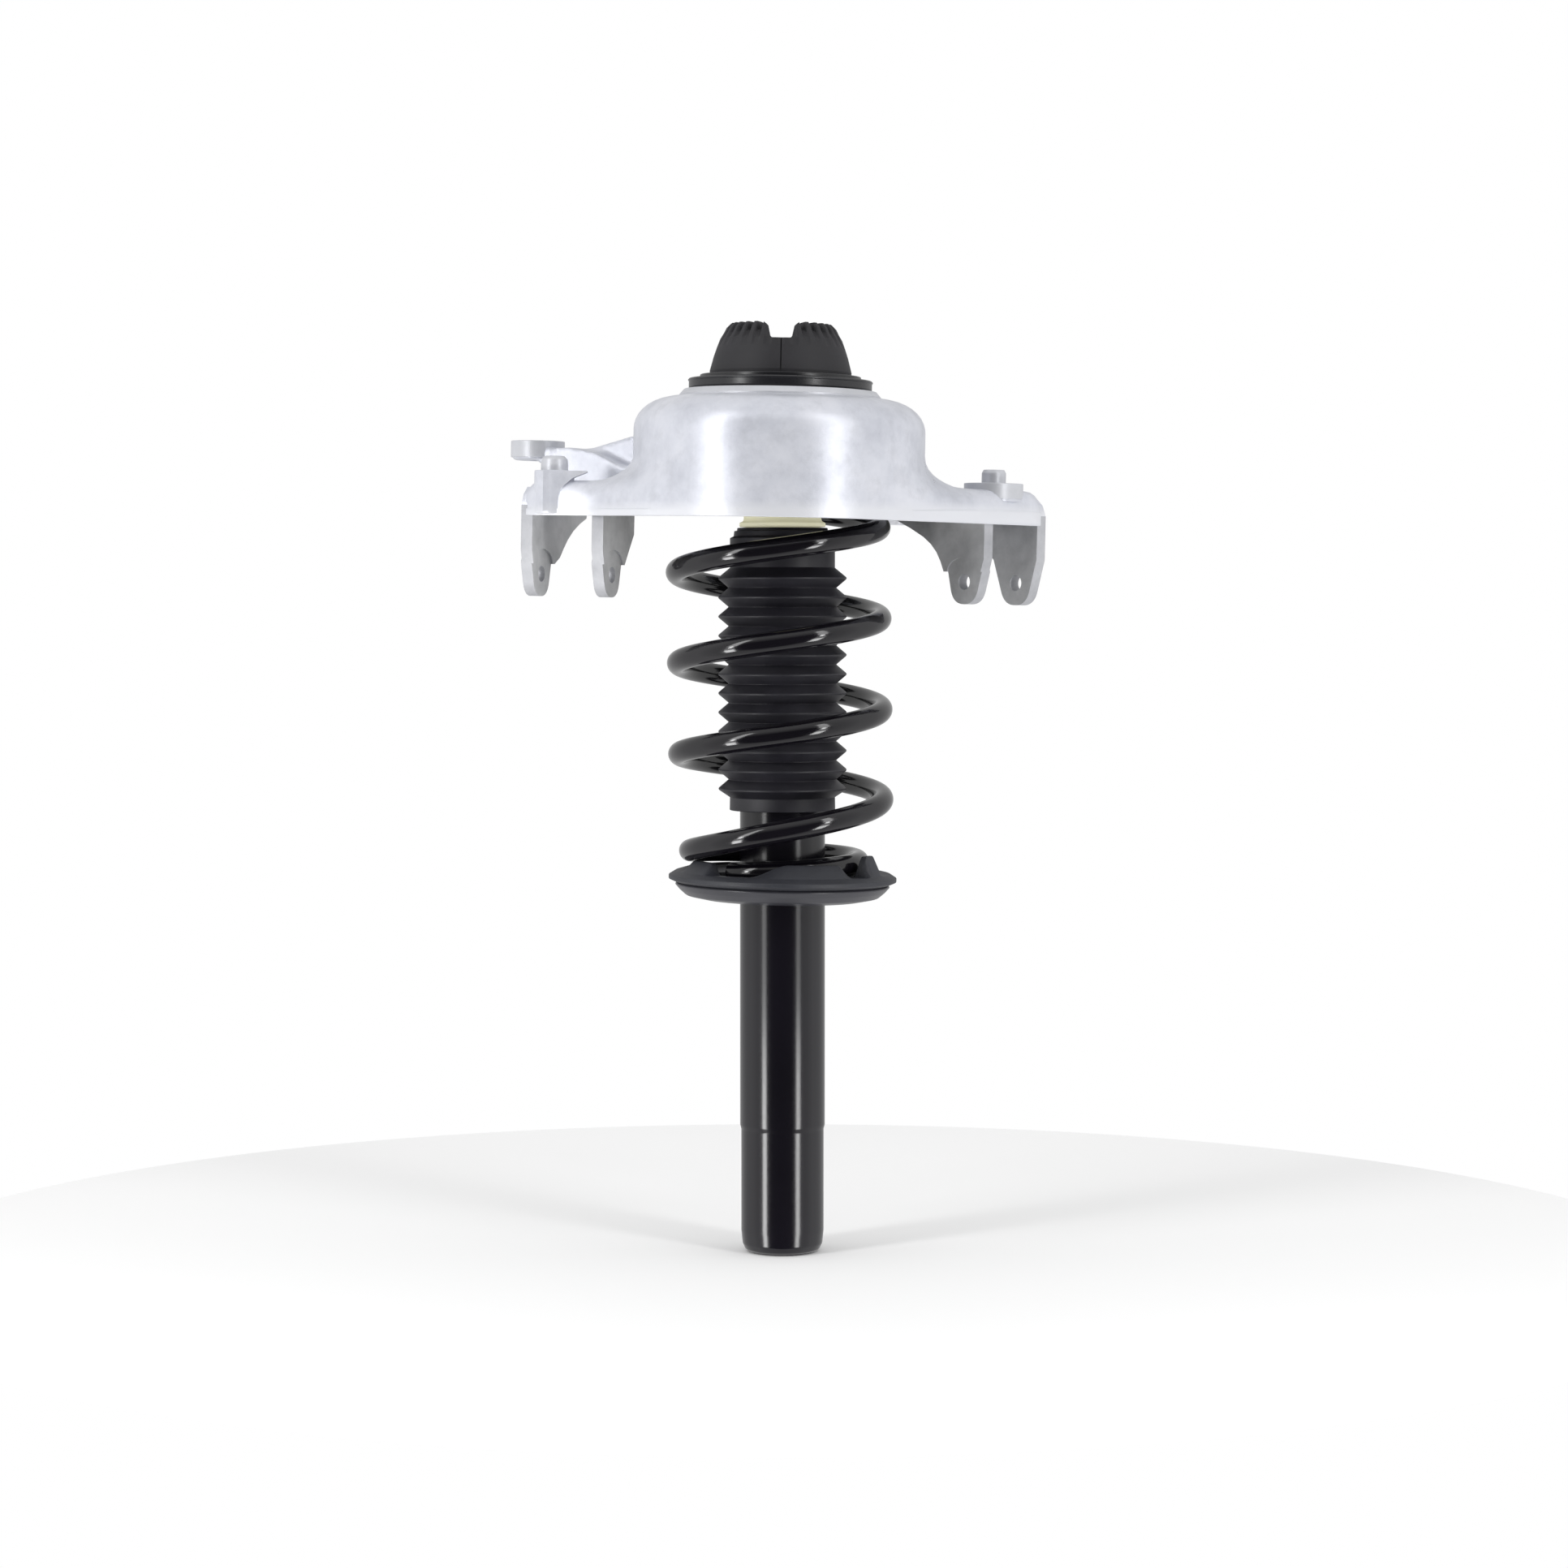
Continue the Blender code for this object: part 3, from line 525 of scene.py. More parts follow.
def applied(obj):
    """The object's mesh with its modifiers worked in."""
    evaluated = obj.evaluated_get(bpy.context.evaluated_depsgraph_get())
    mesh = bpy.data.meshes.new_from_object(evaluated)
    old = obj.data
    obj.modifiers.clear()
    obj.data = mesh
    bpy.data.meshes.remove(old)
    return mesh


def combine(obj, mesh, operation):
    """Joins a closed mesh to the object, or cuts it away."""
    other = bpy.data.objects.new("other", mesh)
    bpy.context.scene.collection.objects.link(other)
    step = obj.modifiers.new(operation, "BOOLEAN")
    step.operation = operation
    step.object = other
    step.solver = "MANIFOLD"
    applied(obj)
    bpy.data.objects.remove(other)


# ---- bracket casting ----

def ray_to_plan(angle):
    c, s = math.cos(angle), math.sin(angle)
    best = DOME_R
    for (ax, ay), (bx, by) in zip(PLAN, PLAN[1:] + PLAN[:1]):
        ex, ey = bx - ax, by - ay
        cross = c * ey - s * ex
        if abs(cross) < 1e-9:
            continue
        reach = (ax * ey - ay * ex) / cross
        along = (ax * s - ay * c) / cross
        if reach > 0 and 0 <= along <= 1:
            best = max(best, reach)
    return best


def plan_radius(angle):
    offsets = [math.radians(d * 0.5) for d in range(-5, 6)]
    return sum(ray_to_plan(angle + o) for o in offsets) / len(offsets)


def clamped(share):
    return max(0.0, min(1.0, share))


def band_height(angle):
    """The flat band along the lower edge is tallest on the right arm."""
    degrees = math.degrees(angle) % 360.0
    signed = (degrees + 180.0) % 360.0 - 180.0
    toward_right = clamped((signed + 55.0) / 55.0)
    past = clamped((degrees - 60.0) / 20.0) if degrees < 180.0 else 0.0
    return BAND_HEIGHT + BAND_EXTRA * toward_right * (1.0 - past)


def back_share(angle):
    """1 along the back edge, where the casting is a little shorter, and 0 at the front and arm ends."""
    off = abs((math.degrees(angle) - BACK_MIDDLE_DEG + 180.0) % 360.0 - 180.0)
    return eased((BACK_HALF_DEG - off) / 15.0)


def eased(share):
    share = clamped(share)
    return share * share * (3 - 2 * share)


def flowing_side(start, end, level, count):
    """An S-curve from the dome's wall down to the arm's edge, upright at both ends."""
    points = []
    for i in range(count):
        t = i / (count - 1)
        first, second = (1 - t) ** 3, 3 * t * (1 - t) ** 2
        third, last = 3 * t * t * (1 - t), t ** 3
        points.append((
            (first + second) * start[0] + (third + last) * end[0],
            first * start[1] + (second + third) * level + last * end[1],
        ))
    return points


def casting_profile(angle):
    """Outer side from the mount's hole down to the lower edge, then back up inside."""
    outer = plan_radius(angle)
    reach = outer - DOME_R
    fillet = min(ARM_FILLET, reach)
    edge = min(ARM_EDGE_R, reach / 2)
    top = ARM_TOP_Z
    wall = DOME_WALL
    base = BASE_Z + BACK_RISE * back_share(angle)
    inner = outer - wall * (1.0 + min(reach, 60.0) / 400.0)
    inner_dome = DOME_R - wall
    shoulder = [
        (
            DOME_R - SHOULDER_R + SHOULDER_R * math.sin(t),
            WALL_TOP_Z + (SHOULDER_TOP_Z - WALL_TOP_Z) * math.cos(t) ** 0.92,
        )
        for t in map(math.radians, (4, 14, 24, 34, 44, 54, 64, 74, 82, 88))
    ]
    sweep = [
        (DOME_R + fillet * (1 - math.cos(t)), top + ARM_FILLET * (1 - math.sin(t)))
        for t in map(math.radians, (0, 15, 30, 45, 60, 75, 90))
    ]
    nose = [
        (outer - edge * (1 - math.sin(t)), top - 0.5 - (ARM_EDGE_DROP - 0.5) * (1 - math.cos(t)))
        for t in map(math.radians, (0, 18, 36, 54, 72, 90))
    ]
    flow = flowing_side((DOME_R, top + FLOW_RISE), (outer, top - ARM_EDGE_DROP), top, len(sweep + nose))
    level = eased((reach - FLOW_REACH[0]) / (FLOW_REACH[1] - FLOW_REACH[0]))
    side = [
        (a[0] + (b[0] - a[0]) * level, a[1] + (b[1] - a[1]) * level)
        for a, b in zip(flow, sweep + nose)
    ]
    lip = min(1.0, reach / 6.0) * BAND_LIP
    band_top = base + band_height(angle)
    down = [
        (MOUNT_HOLE_R, RING_TOP_Z - 0.4), (61.5, RING_TOP_Z - 0.4), (RING_R - 0.2, SHOULDER_TOP_Z - 0.2),
        *shoulder, *side,
        (outer, band_top + 0.8), (outer + lip, band_top),
        (outer + lip, base + 0.4), (outer + lip - 0.4, base),
    ]
    up = [
        (inner + 0.5, base), (inner, base + 0.6), (inner, top - ARM_EDGE_DROP + 1.5),
        (inner - edge, top - wall),
        (min(inner_dome + fillet, inner - edge * 0.9), top - wall + 0.3),
        (inner_dome, top + ARM_FILLET - wall), (inner_dome, 533.0), (86.0, 541.0),
        (76.0, 547.5), (MOUNT_HOLE_R, 550.0),
    ]
    return down + up


def plate_outline(name):
    """The cast plate of an ear, down to the shoulders over its bolt tab."""
    front = [(0.0, 455.0), (0.0, 484.0), (3.0, 491.0), (9.0, EAR_TOP_Z)]
    shoulders = [(36.5, SHOULDER_Z), (TAB_SIDES[0], SHOULDER_Z)]
    if name in PLAIN_EARS:
        shoulders = [PLAIN_SHOULDER]
    return (front + EAR_BACKS[name] + shoulders)[::-1]


def tab_outline(name):
    """The bolt tab, narrower toward its rounded tip. It runs up into the plate under a low arch."""
    tip = EAR_BOLT_Z - TAB_DROP
    near, far = TAB_SIDES
    if name in PLAIN_EARS:
        top = [PLAIN_SHOULDER, (0.0, PLAIN_SHOULDER[1])]
    else:
        middle, half = (near + far) / 2, (far - near) / 2
        angles = [math.radians(180.0 * k / 18) for k in range(1, 18)]
        arch = [(middle + half * math.cos(a), SHOULDER_Z + ARCH_RISE * math.sin(a)) for a in angles]
        top = [(far, SHOULDER_Z), *arch, (near, SHOULDER_Z)]
    return rounded([*top, *((u, tip, TAB_CORNER_R) for u in TAB_TIP_SIDES)], steps=9)


def ear_matrix(front, heading_deg):
    heading = math.radians(heading_deg)
    along = Vector((math.cos(heading), math.sin(heading), 0.0))
    up = Vector((0.0, 0.0, 1.0))
    place = Matrix((along, up, along.cross(up))).transposed().to_4x4()
    place.translation = Vector((*front, 0.0)) * MM
    return place


def ears():
    """(name, matrix, side of the arched recess) of each ear. Local Z runs across the ear."""
    found = []
    for name, first, heading, sides in (
        ("left", LEFT_EAR_FRONT, LEFT_EAR_HEADING_DEG, (1, 1)),
        ("right", RIGHT_EAR_FRONT, RIGHT_EAR_HEADING_DEG, (-1, -1)),
    ):
        turn = math.radians(heading)
        across = (math.sin(turn), -math.cos(turn))
        second = (first[0] + across[0] * EAR_GAP, first[1] + across[1] * EAR_GAP)
        found.append((name + "_a", ear_matrix(first, heading), sides[0]))
        found.append((name + "_b", ear_matrix(second, heading), sides[1]))
    return found


def ear_meshes():
    """Each ear's plate, and its bolt tab, which is set back on one side and stands proud on the other."""
    half = EAR_THICK / 2
    meshes = []
    for name, place, side in ears():
        low, high = sorted((half * side, -half * side))
        meshes.append(prism_mesh("plate", plate_outline(name), low, high, place))
        if name not in PLAIN_EARS:
            low, high = sorted(((half - ARCH_RECESS) * side, -(half + TAB_PROUD) * side))
        meshes.append(prism_mesh("tab", tab_outline(name), low, high, place))
    return meshes


def boss_mesh(at, radius, low, high, edge=1.0):
    profile = [(0.0, high), (radius, high, edge), (radius, low, edge), (0.0, low)]
    return turned_mesh("boss", profile, 48, None, at)


def rear_beam_meshes():
    """The arm to the rear boss: a thick beam, and a fin behind it that climbs to the dome."""
    heading = Vector((*REAR_BOSS, 0.0)).normalized()
    up = Vector((0.0, 0.0, 1.0))
    place = Matrix((heading, up, heading.cross(up))).transposed().to_4x4()
    start = DOME_R - DOME_WALL + 2.0
    beam = [
        (start, 497.0), (145.0, 497.0), (160.0, 506.0), (172.0, 515.0), (172.0, 523.0), (148.0, 524.0),
        (130.0, 521.0), (112.0, 513.0), (start, 509.0),
    ]
    fin = [(start, 500.0), (150.0, 512.0), (160.0, 522.0), (140.0, 524.5), (112.0, 532.0), (start, 534.0)]
    return [
        prism_mesh("beam", beam, -13.0, 13.0, place),
        prism_mesh("fin", fin, 5.0, 13.0, place),
    ]


def gusset_mesh():
    """The web from the front boss's top down to the arm's lower edge."""
    outline = [
        (-152.0, FRONT_PAD_Z - 0.2), (-152.0, 480.0), (-148.0, 480.5), (-144.0, 488.0), (-140.0, 495.5),
        (-133.0, 501.6), (-124.0, 505.4), (-124.0, FRONT_PAD_Z - 0.2),
    ]
    return prism_mesh("gusset", outline, 4.0, 17.2, Matrix.Rotation(math.radians(90), 4, "X"))


def soft_stretches(skirt):
    """The parts of the casting that flow into each other, with a thinner skirt to flow into."""
    bm = bmesh.new()
    bm.from_mesh(skirt)
    bm.normal_update()
    for vert in bm.verts:
        vert.co -= vert.normal * SKIRT_INSET * MM
    thin = bm_to_mesh(bm, "thin_skirt")
    meshes = [thin, *rear_beam_meshes()]
    meshes.append(boss_mesh(REAR_BOSS, REAR_BOSS_R - 0.9, REAR_BOSS_Z[0] + 2.0, REAR_BOSS_Z[1] - 2.0))
    soft = new_piece("soft", joined("soft", meshes), ALUMINIUM)
    remesh = soft.modifiers.new("skin", "REMESH")
    remesh.mode = "VOXEL"
    remesh.voxel_size = CASTING_VOXEL
    smooth = soft.modifiers.new("soften", "SMOOTH")
    smooth.factor = 0.5
    smooth.iterations = SMOOTHING_ROUNDS
    applied(soft)
    for low, high in (((-60.0, -300.0), (300.0, 300.0)), ((-300.0, -300.0), (0.0, 22.0))):
        outline = [(low[0], low[1]), (high[0], low[1]), (high[0], high[1]), (low[0], high[1])]
        combine(soft, prism_mesh("rest", outline, 300.0, 700.0), "DIFFERENCE")
    mesh = soft.data.copy()
    bpy.data.objects.remove(soft)
    return mesh


def build_casting():
    skirt = polar_mesh("skirt", casting_profile, 360)
    soft = soft_stretches(skirt)
    casting = new_piece("bracket_casting", skirt, ALUMINIUM)
    added = [soft, *ear_meshes(), gusset_mesh()]
    added.append(boss_mesh(FRONT_BOSS, FRONT_BOSS_R, BASE_Z + 1.0, FRONT_PAD_Z))
    added.append(boss_mesh(RIGHT_BOSS, RIGHT_BOSS_R - 0.5, ARM_TOP_Z - 8.0, RIGHT_PAD_Z - 1.0))
    for mesh in added:
        combine(casting, mesh, "UNION")
    for name, place, side in ears():
        hole = arc(EAR_BOLT_U, EAR_BOLT_Z, EAR_HOLE_R, 0, 350, 35)
        combine(casting, prism_mesh("hole", hole, -9.0, 9.0, place), "DIFFERENCE")
        if name in PLAIN_EARS:
            continue
        face = EAR_THICK / 2 * side
        low, high = sorted((face - ARCH_RECESS * side, face + 4.0 * side))
        combine(casting, prism_mesh("arch", tab_outline(name), low, high, place), "DIFFERENCE")
    for at, low, high in (
        (REAR_BOSS, 490.0, 540.0), (FRONT_BOSS, FRONT_PAD_Z - 19.0, 530.0), (RIGHT_BOSS, 476.0, 530.0),
    ):
        drill = [(0.0, high), (BODY_HOLE_R, high), (BODY_HOLE_R, low), (0.0, low)]
        combine(casting, turned_mesh("drill", drill, 36, None, at), "DIFFERENCE")
    casting.data.shade_smooth()
    casting.data.set_sharp_from_angle(angle=math.radians(32))
    casting.data.materials.clear()
    casting.data.materials.append(ALUMINIUM)
    casting.data.materials.append(FLANK_PAINTED_SHADE)
    casting.data.materials.append(EDGE_PAINTED_SHADE)
    # Faces below the arm's lower edge take the darker copies: painted shade under the arm, with the flanks
    # and the edges kept apart.
    flanks = [place.to_3x3() @ Vector((0.0, 0.0, 1.0)) for _, place, _ in ears()]
    for face in casting.data.polygons:
        lowest = min(casting.data.vertices[i].co.z for i in face.vertices)
        below = lowest < (BASE_Z - 1.0) * MM
        sideways = any(abs(face.normal.dot(across)) > FLANK_FACING for across in flanks)
        face.material_index = (1 if sideways else 2) if below else 0
    casting.data.transform(BRACKET_LEAN)
    ride_on(casting, "bracket", "cast_aluminium", "mount_bracket")


def build_machined_faces():
    """Turned faces on the casting: the mount's seat ring, the body pads and their spigots."""
    hole = BODY_HOLE_R
    pad = REAR_BOSS_Z[0] + 4.0
    under = ARM_TOP_Z - 6.0
    rings = {
        "mount_seat_ring": ([
            (MOUNT_HOLE_R, RING_TOP_Z), (62.5, RING_TOP_Z, 0.6), (RING_R + 0.6, SHOULDER_TOP_Z + 1.2, 0.5),
            (RING_R + 0.6, SHOULDER_TOP_Z - 0.6), (MOUNT_HOLE_R, SHOULDER_TOP_Z - 0.6),
        ], (0.0, 0.0), 160),
        "rear_pad": ([
            (hole, REAR_BOSS_Z[1]), (REAR_BOSS_R, REAR_BOSS_Z[1], 0.6),
            (REAR_BOSS_R, pad, 0.5), (hole, pad),
        ], REAR_BOSS, 96),
        "right_pad": ([
            (hole, RIGHT_PAD_Z), (RIGHT_BOSS_R, RIGHT_PAD_Z, 0.5), (RIGHT_BOSS_R, under), (hole, under),
        ], RIGHT_BOSS, 96),
        "front_spigot": ([
            (hole - 1.0, FRONT_PIN_TOP), (FRONT_PIN_R - 2.6, FRONT_PIN_TOP, 1.4),
            (FRONT_PIN_R - 0.5, FRONT_PIN_TOP - 2.0, 2.2), (FRONT_PIN_R, FRONT_PIN_TOP - 5.5, 3.0),
            (FRONT_PIN_R, FRONT_PAD_Z - 2.0), (hole - 1.0, FRONT_PAD_Z - 2.0),
        ], FRONT_BOSS, 72),
        "right_spigot": ([
            (hole, RIGHT_PIN_TOP), (RIGHT_PIN_R - 1.2, RIGHT_PIN_TOP, 0.3),
            (RIGHT_PIN_R, RIGHT_PIN_TOP - 2.2, 0.5), (RIGHT_PIN_R, RIGHT_PAD_Z - 2.0),
            (hole, RIGHT_PAD_Z - 2.0),
        ], RIGHT_BOSS, 72),
    }
    for name, (profile, at, steps) in rings.items():
        piece = new_piece(name, turned_mesh(name, profile, steps, BRACKET_LEAN, at), MACHINED)
        ride_on(piece, "bracket", "cast_aluminium")


# ---- top mount ----

def build_flange():
    band = turned_mesh("mount_flange", [
        (FLANGE_BORE_R, 568.0), (59.2, 568.0, 0.5), (60.0, 567.2, 0.4), (60.0, 566.6, 0.2),
        (59.5, 566.2, 0.2),
        (59.5, 562.0, 0.8), (57.8, 561.3, 0.5), (50.2, 561.3, 0.5), (50.2, 551.0), (FLANGE_BORE_R, 551.0),
    ], 160, BRACKET_LEAN)
    ride_on(new_piece("mount_flange", band, FLANGE_BLACK), "bracket", "flange_black", "mount_flange_ring")
    plate = turned_mesh("mount_plate", [
        (FLANGE_BORE_R, 570.6), (PLATE_R, 570.6, 0.6), (PLATE_R, 568.3, 0.3), (FLANGE_BORE_R, 568.3),
    ], 160, BRACKET_LEAN)
    ride_on(new_piece("mount_plate", plate, FLANGE_BLACK), "bracket", "flange_black", "mount_locking_plate")


def cone_profile(angle):
    """The serrated cone: each tooth is a flat-topped block with steep sides."""
    phase = (angle * CONE_TEETH / (2 * math.pi) + 0.5) % 1.0
    side = min(phase, 1.0 - phase) * 2.0
    rise = eased((side - 0.16) / 0.54)
    top = TOOTH_ROOT_Z + (TOOTH_TOP_Z - TOOTH_ROOT_Z) * rise
    flank = TOOTH_FLANK * (1.0 - rise)
    points = [
        (23.0, top - 1.2, 0.4), (26.0, top - 0.4, 0.8), (32.6 - flank, top, 0.7),
        (35.6 - flank, top - 2.2 * rise - 0.8, 0.7), (37.4 - flank, 597.4, 0.6),
        (39.6 - flank * 0.4, 593.8, 1.0), (41.6, 588.5, 3.0), (43.6, 582.5, 4.0),
        (46.1, 573.0, 1.5), (45.8, 570.5, 0.3), (46.3, 562.0), (46.5, 552.0, 1.0),
        (41.0, 547.6, 1.0), (19.0, 547.6, 1.0), (16.6, 550.0), (16.6, 562.5, 0.5), (22.5, 564.5, 0.5),
    ]
    return rounded(points, steps=4)


def build_cone():
    mesh = polar_mesh("mount_cone", cone_profile, CONE_TEETH * 20)
    cone = new_piece("mount_cone", mesh, CONE_RUBBER, 50.0)
    half = NOTCH_HALF
    outline = rounded([(-half, NOTCH_FLOOR_Z, 1.8), (half, NOTCH_FLOOR_Z, 1.8), (half + 1.6, 601.0, 1.5),
                       (half + 4.5, 603.5, 1.0), (half + 5.0, 608.0), (-half - 5.0, 608.0),
                       (-half - 4.5, 603.5, 1.0), (-half - 1.6, 601.0, 1.5)], steps=6)
    upright = Matrix.Rotation(math.radians(90), 4, "X")
    notch = prism_mesh("notch", outline, -60.0, 60.0, upright)
    combine(cone, notch, "DIFFERENCE")
    seam = [
        (47.5, 570.0), (47.5, 574.0), (43.0, 593.0), (40.0, 594.0), (39.0, 592.0), (42.0, 582.0),
        (45.6, 572.5), (45.6, 570.0),
    ]
    groove = prism_mesh("mould_line", seam, -MOULD_LINE_HALF, MOULD_LINE_HALF, upright)
    groove.transform(Matrix.Rotation(math.radians(-90), 4, "Z"))
    combine(cone, groove, "DIFFERENCE")
    cone.data.transform(BRACKET_LEAN)
    cone.data.shade_smooth()
    cone.data.set_sharp_from_angle(angle=math.radians(45))
    ride_on(cone, "rubber_mount", "mount_rubber", "mount_rubber")


# ---- coil spring ----

def stepped(stations, at):
    """Straight lines between (place, value) stations."""
    for (a, va), (b, vb) in zip(stations, stations[1:]):
        if at <= b:
            return va + (vb - va) * (at - a) / (b - a)
    return stations[-1][1]


COIL_HEIGHTS = (
    (COIL_START_DEG, 250.0), (360.0, 255.0), (450.0, 257.4), (540.0, 261.4), (585.0, 268.0),
    (630.0, 278.3), (720.0, 296.2), (900.0, 325.0), (1080.0, 354.6),
    (1440.0, 413.8), (1800.0, 472.6), (1960.0, 498.0),
    (2040.0, 504.4), (2090.0, COIL_TOP_Z), (COIL_END_DEG, COIL_TOP_Z),
)
COIL_RADII = ((COIL_START_DEG, 48.0), (360.0, 49.8), (540.0, 59.6), (700.0, COIL_R), (COIL_END_DEG, COIL_R))


def smoothed(stations, at):
    """A rule averaged over 60 degrees of the coil, without leaving its ends."""
    reach = min(30.0, at - COIL_START_DEG, COIL_END_DEG - at)
    shares = [k / 4 for k in range(-4, 5)]
    weights = [1 - abs(s) * 0.75 for s in shares]
    return sum(w * stepped(stations, at + reach * s) for s, w in zip(shares, weights)) / sum(weights)


def coil_point(turn):
    radius, height = smoothed(COIL_RADII, turn), smoothed(COIL_HEIGHTS, turn)
    sway = -0.8 - 2.2 * max(0.0, min(1.0, (height - 290.0) / 180.0))
    angle = math.radians(turn)
    return Vector((radius * math.cos(angle) + sway, radius * math.sin(angle), height))


def wire_mesh(name, points, radius, sides):
    """A round wire through points, with its ends slightly chamfered and capped."""
    bm = bmesh.new()
    rings = []
    last = len(points) - 1
    for i, point in enumerate(points):
        ahead, behind = points[min(i + 1, last)], points[max(i - 1, 0)]
        along = (ahead - behind).normalized()
        across = along.cross(Vector((0.0, 0.0, 1.0))).normalized()
        over = across.cross(along)
        size = radius - 0.5 if i in (0, last) else radius
        ring = []
        for k in range(sides):
            a = 2 * math.pi * k / sides
            place = point + across * (size * math.cos(a)) + over * (size * math.sin(a))
            ring.append(bm.verts.new(place * MM))
        rings.append(ring)
    for ring, following in zip(rings, rings[1:]):
        for k in range(sides):
            m = (k + 1) % sides
            bm.faces.new((ring[k], following[k], following[m], ring[m]))
    bm.faces.new(rings[0])
    bm.faces.new(reversed(rings[-1]))
    bmesh.ops.recalc_face_normals(bm, faces=bm.faces)
    return bm_to_mesh(bm, name)


def build_spring():
    steps = 720
    turns = [COIL_START_DEG + (COIL_END_DEG - COIL_START_DEG) * i / steps for i in range(steps + 1)]
    turns = [turns[0], turns[0] + 0.45] + turns[1:-1] + [turns[-1] - 0.45, turns[-1]]
    mesh = wire_mesh("spring_coil", [coil_point(t) for t in turns], WIRE_R, 32)
    spring = new_piece("spring_coil", mesh, SPRING_PAINT)
    ride_on(spring, "rod", "spring_paint", "coil_spring")
    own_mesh(spring)


# ---- boot and bump stop ----

def build_boot():
    inner = BOOT_R - BOOT_WALL
    outer_side = [
        (23.6, BOOT_TOP), (29.4, BOOT_TOP, 0.5), (29.6, 470.4, 0.3), (31.4, 470.2, 0.4),
        (31.8, 466.8, 0.4), (BOOT_R, 465.6, 0.8), (BOOT_R, 446.4, 0.4),
    ]
    inner_side = [(23.6, BOOT_TOP - BOOT_WALL), (inner, 464.0), (inner, 446.0)]
    for i in range(PLEATS):
        tip = TOP_TIP_Z - PLEAT_PITCH * i
        root = tip - PLEAT_PITCH / 2
        outer_side += [(BOOT_TIP_R + 0.5, tip, 1.3), (BOOT_ROOT_R - 0.1, root, 0.35)]
        inner_side += [(BOOT_TIP_R - BOOT_WALL * 1.3, tip, 0.3), (BOOT_ROOT_R - BOOT_WALL * 1.3, root, 0.3)]
    low, high = BOOT_CUFF_Z
    outer_side = outer_side[:-1] + [(BOOT_R + 0.1, high, 0.3), (BOOT_R + 0.25, low, 0.6)]
    grip = TUBE_R + 0.55
    inner_side = inner_side[:-1] + [(inner, high - 1.0), (grip, low + 2.5), (grip, low, 0.4)]
    mesh = turned_mesh("boot_sleeve", outer_side + inner_side[::-1], 144)
    boot = new_piece("boot_sleeve", mesh, BOOT_RUBBER)
    ride_on(boot, "rod", "boot_rubber", "dust_boot")
    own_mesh(boot)


def build_bump_stop():
    bore = BUMP_STOP_BORE_R
    upper = turned_mesh("bump_stop_head", [
        (bore, 535.6), (20.8, 535.6, 1.0), (25.2, 531.5, 1.0), (25.2, 478.2, 0.8), (25.7, 476.6, 0.4),
        (28.0, 475.4, 0.7), (28.0, 472.9, 0.7), (23.0, 472.5), (20.5, 466.0, 1.0), (bore, 465.9),
    ], 120)
    ride_on(new_piece("bump_stop_head", upper, FOAM), "rod", "cream_foam", "bump_stop")
    top = NOSE_TOP_Z
    lower = turned_mesh("bump_stop_nose", [
        (bore, top), (20.2, top, 0.8), (18.0, 455.0, 2.0), (21.0, 446.0, 2.0), (16.5, 436.0, 2.0),
        (19.0, 426.0, 2.0), (12.5, NOSE_TIP_Z, 1.5), (bore, NOSE_TIP_Z),
    ], 96)
    nose = new_piece("bump_stop_nose", lower, FOAM)
    ride_on(nose, "rod", "cream_foam", "bump_stop")
    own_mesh(nose)


# ---- damper tube and lower seat ----

def build_tube():
    mesh = turned_mesh("damper_tube", [
        (TUBE_R - 2.5, TUBE_TOP), (TUBE_R, TUBE_TOP, 0.8), (TUBE_R, CLAMP_TOP + 1.5, 2.0),
        (TUBE_LOWER_R, CLAMP_TOP - 1.5, 2.0), (TUBE_LOWER_R, 13.0, 8.0), (26.2, 4.6, 4.0),
        (24.6, 1.0, 2.0), (23.0, 0.0, 0.5), (FOOT_HOLE_R, 0.0, 0.3), (FOOT_HOLE_R, 2.9),
        (24.5, 2.9), (24.5, CLAMP_TOP - 1.5), (TUBE_R - 2.5, CLAMP_TOP + 1.5),
    ], 160)
    ride_on(new_piece("damper_tube", mesh, PAINT), "tube", "black_paint", "outer_tube")


def build_pan():
    bore = TUBE_R + 0.5
    mesh = turned_mesh("spring_pan", [
        (bore, 233.0), (51.0, 233.0, 2.0), (60.5, 235.3, 3.0), (65.8, 239.2, 3.0),
        (69.0, 240.8, 0.8), (70.2, 239.4, 0.8),
        (67.2, 236.0, 4.0), (62.8, 232.2, 5.0), (52.0, 230.0, 4.0), (bore, 229.6, 0.5),
    ], 160, SEAT_LEAN)
    ride_on(new_piece("spring_pan", mesh, PAN_PAINT), "tube", "black_paint", "lower_spring_pan")


def raised(angle, start, full, fading, end):
    """1 between the angles full and fading, in degrees, and 0 outside start and end."""
    at = math.degrees(angle) % 360.0
    return min(eased((at - start) / (full - start)), eased((end - at) / (end - fading)))


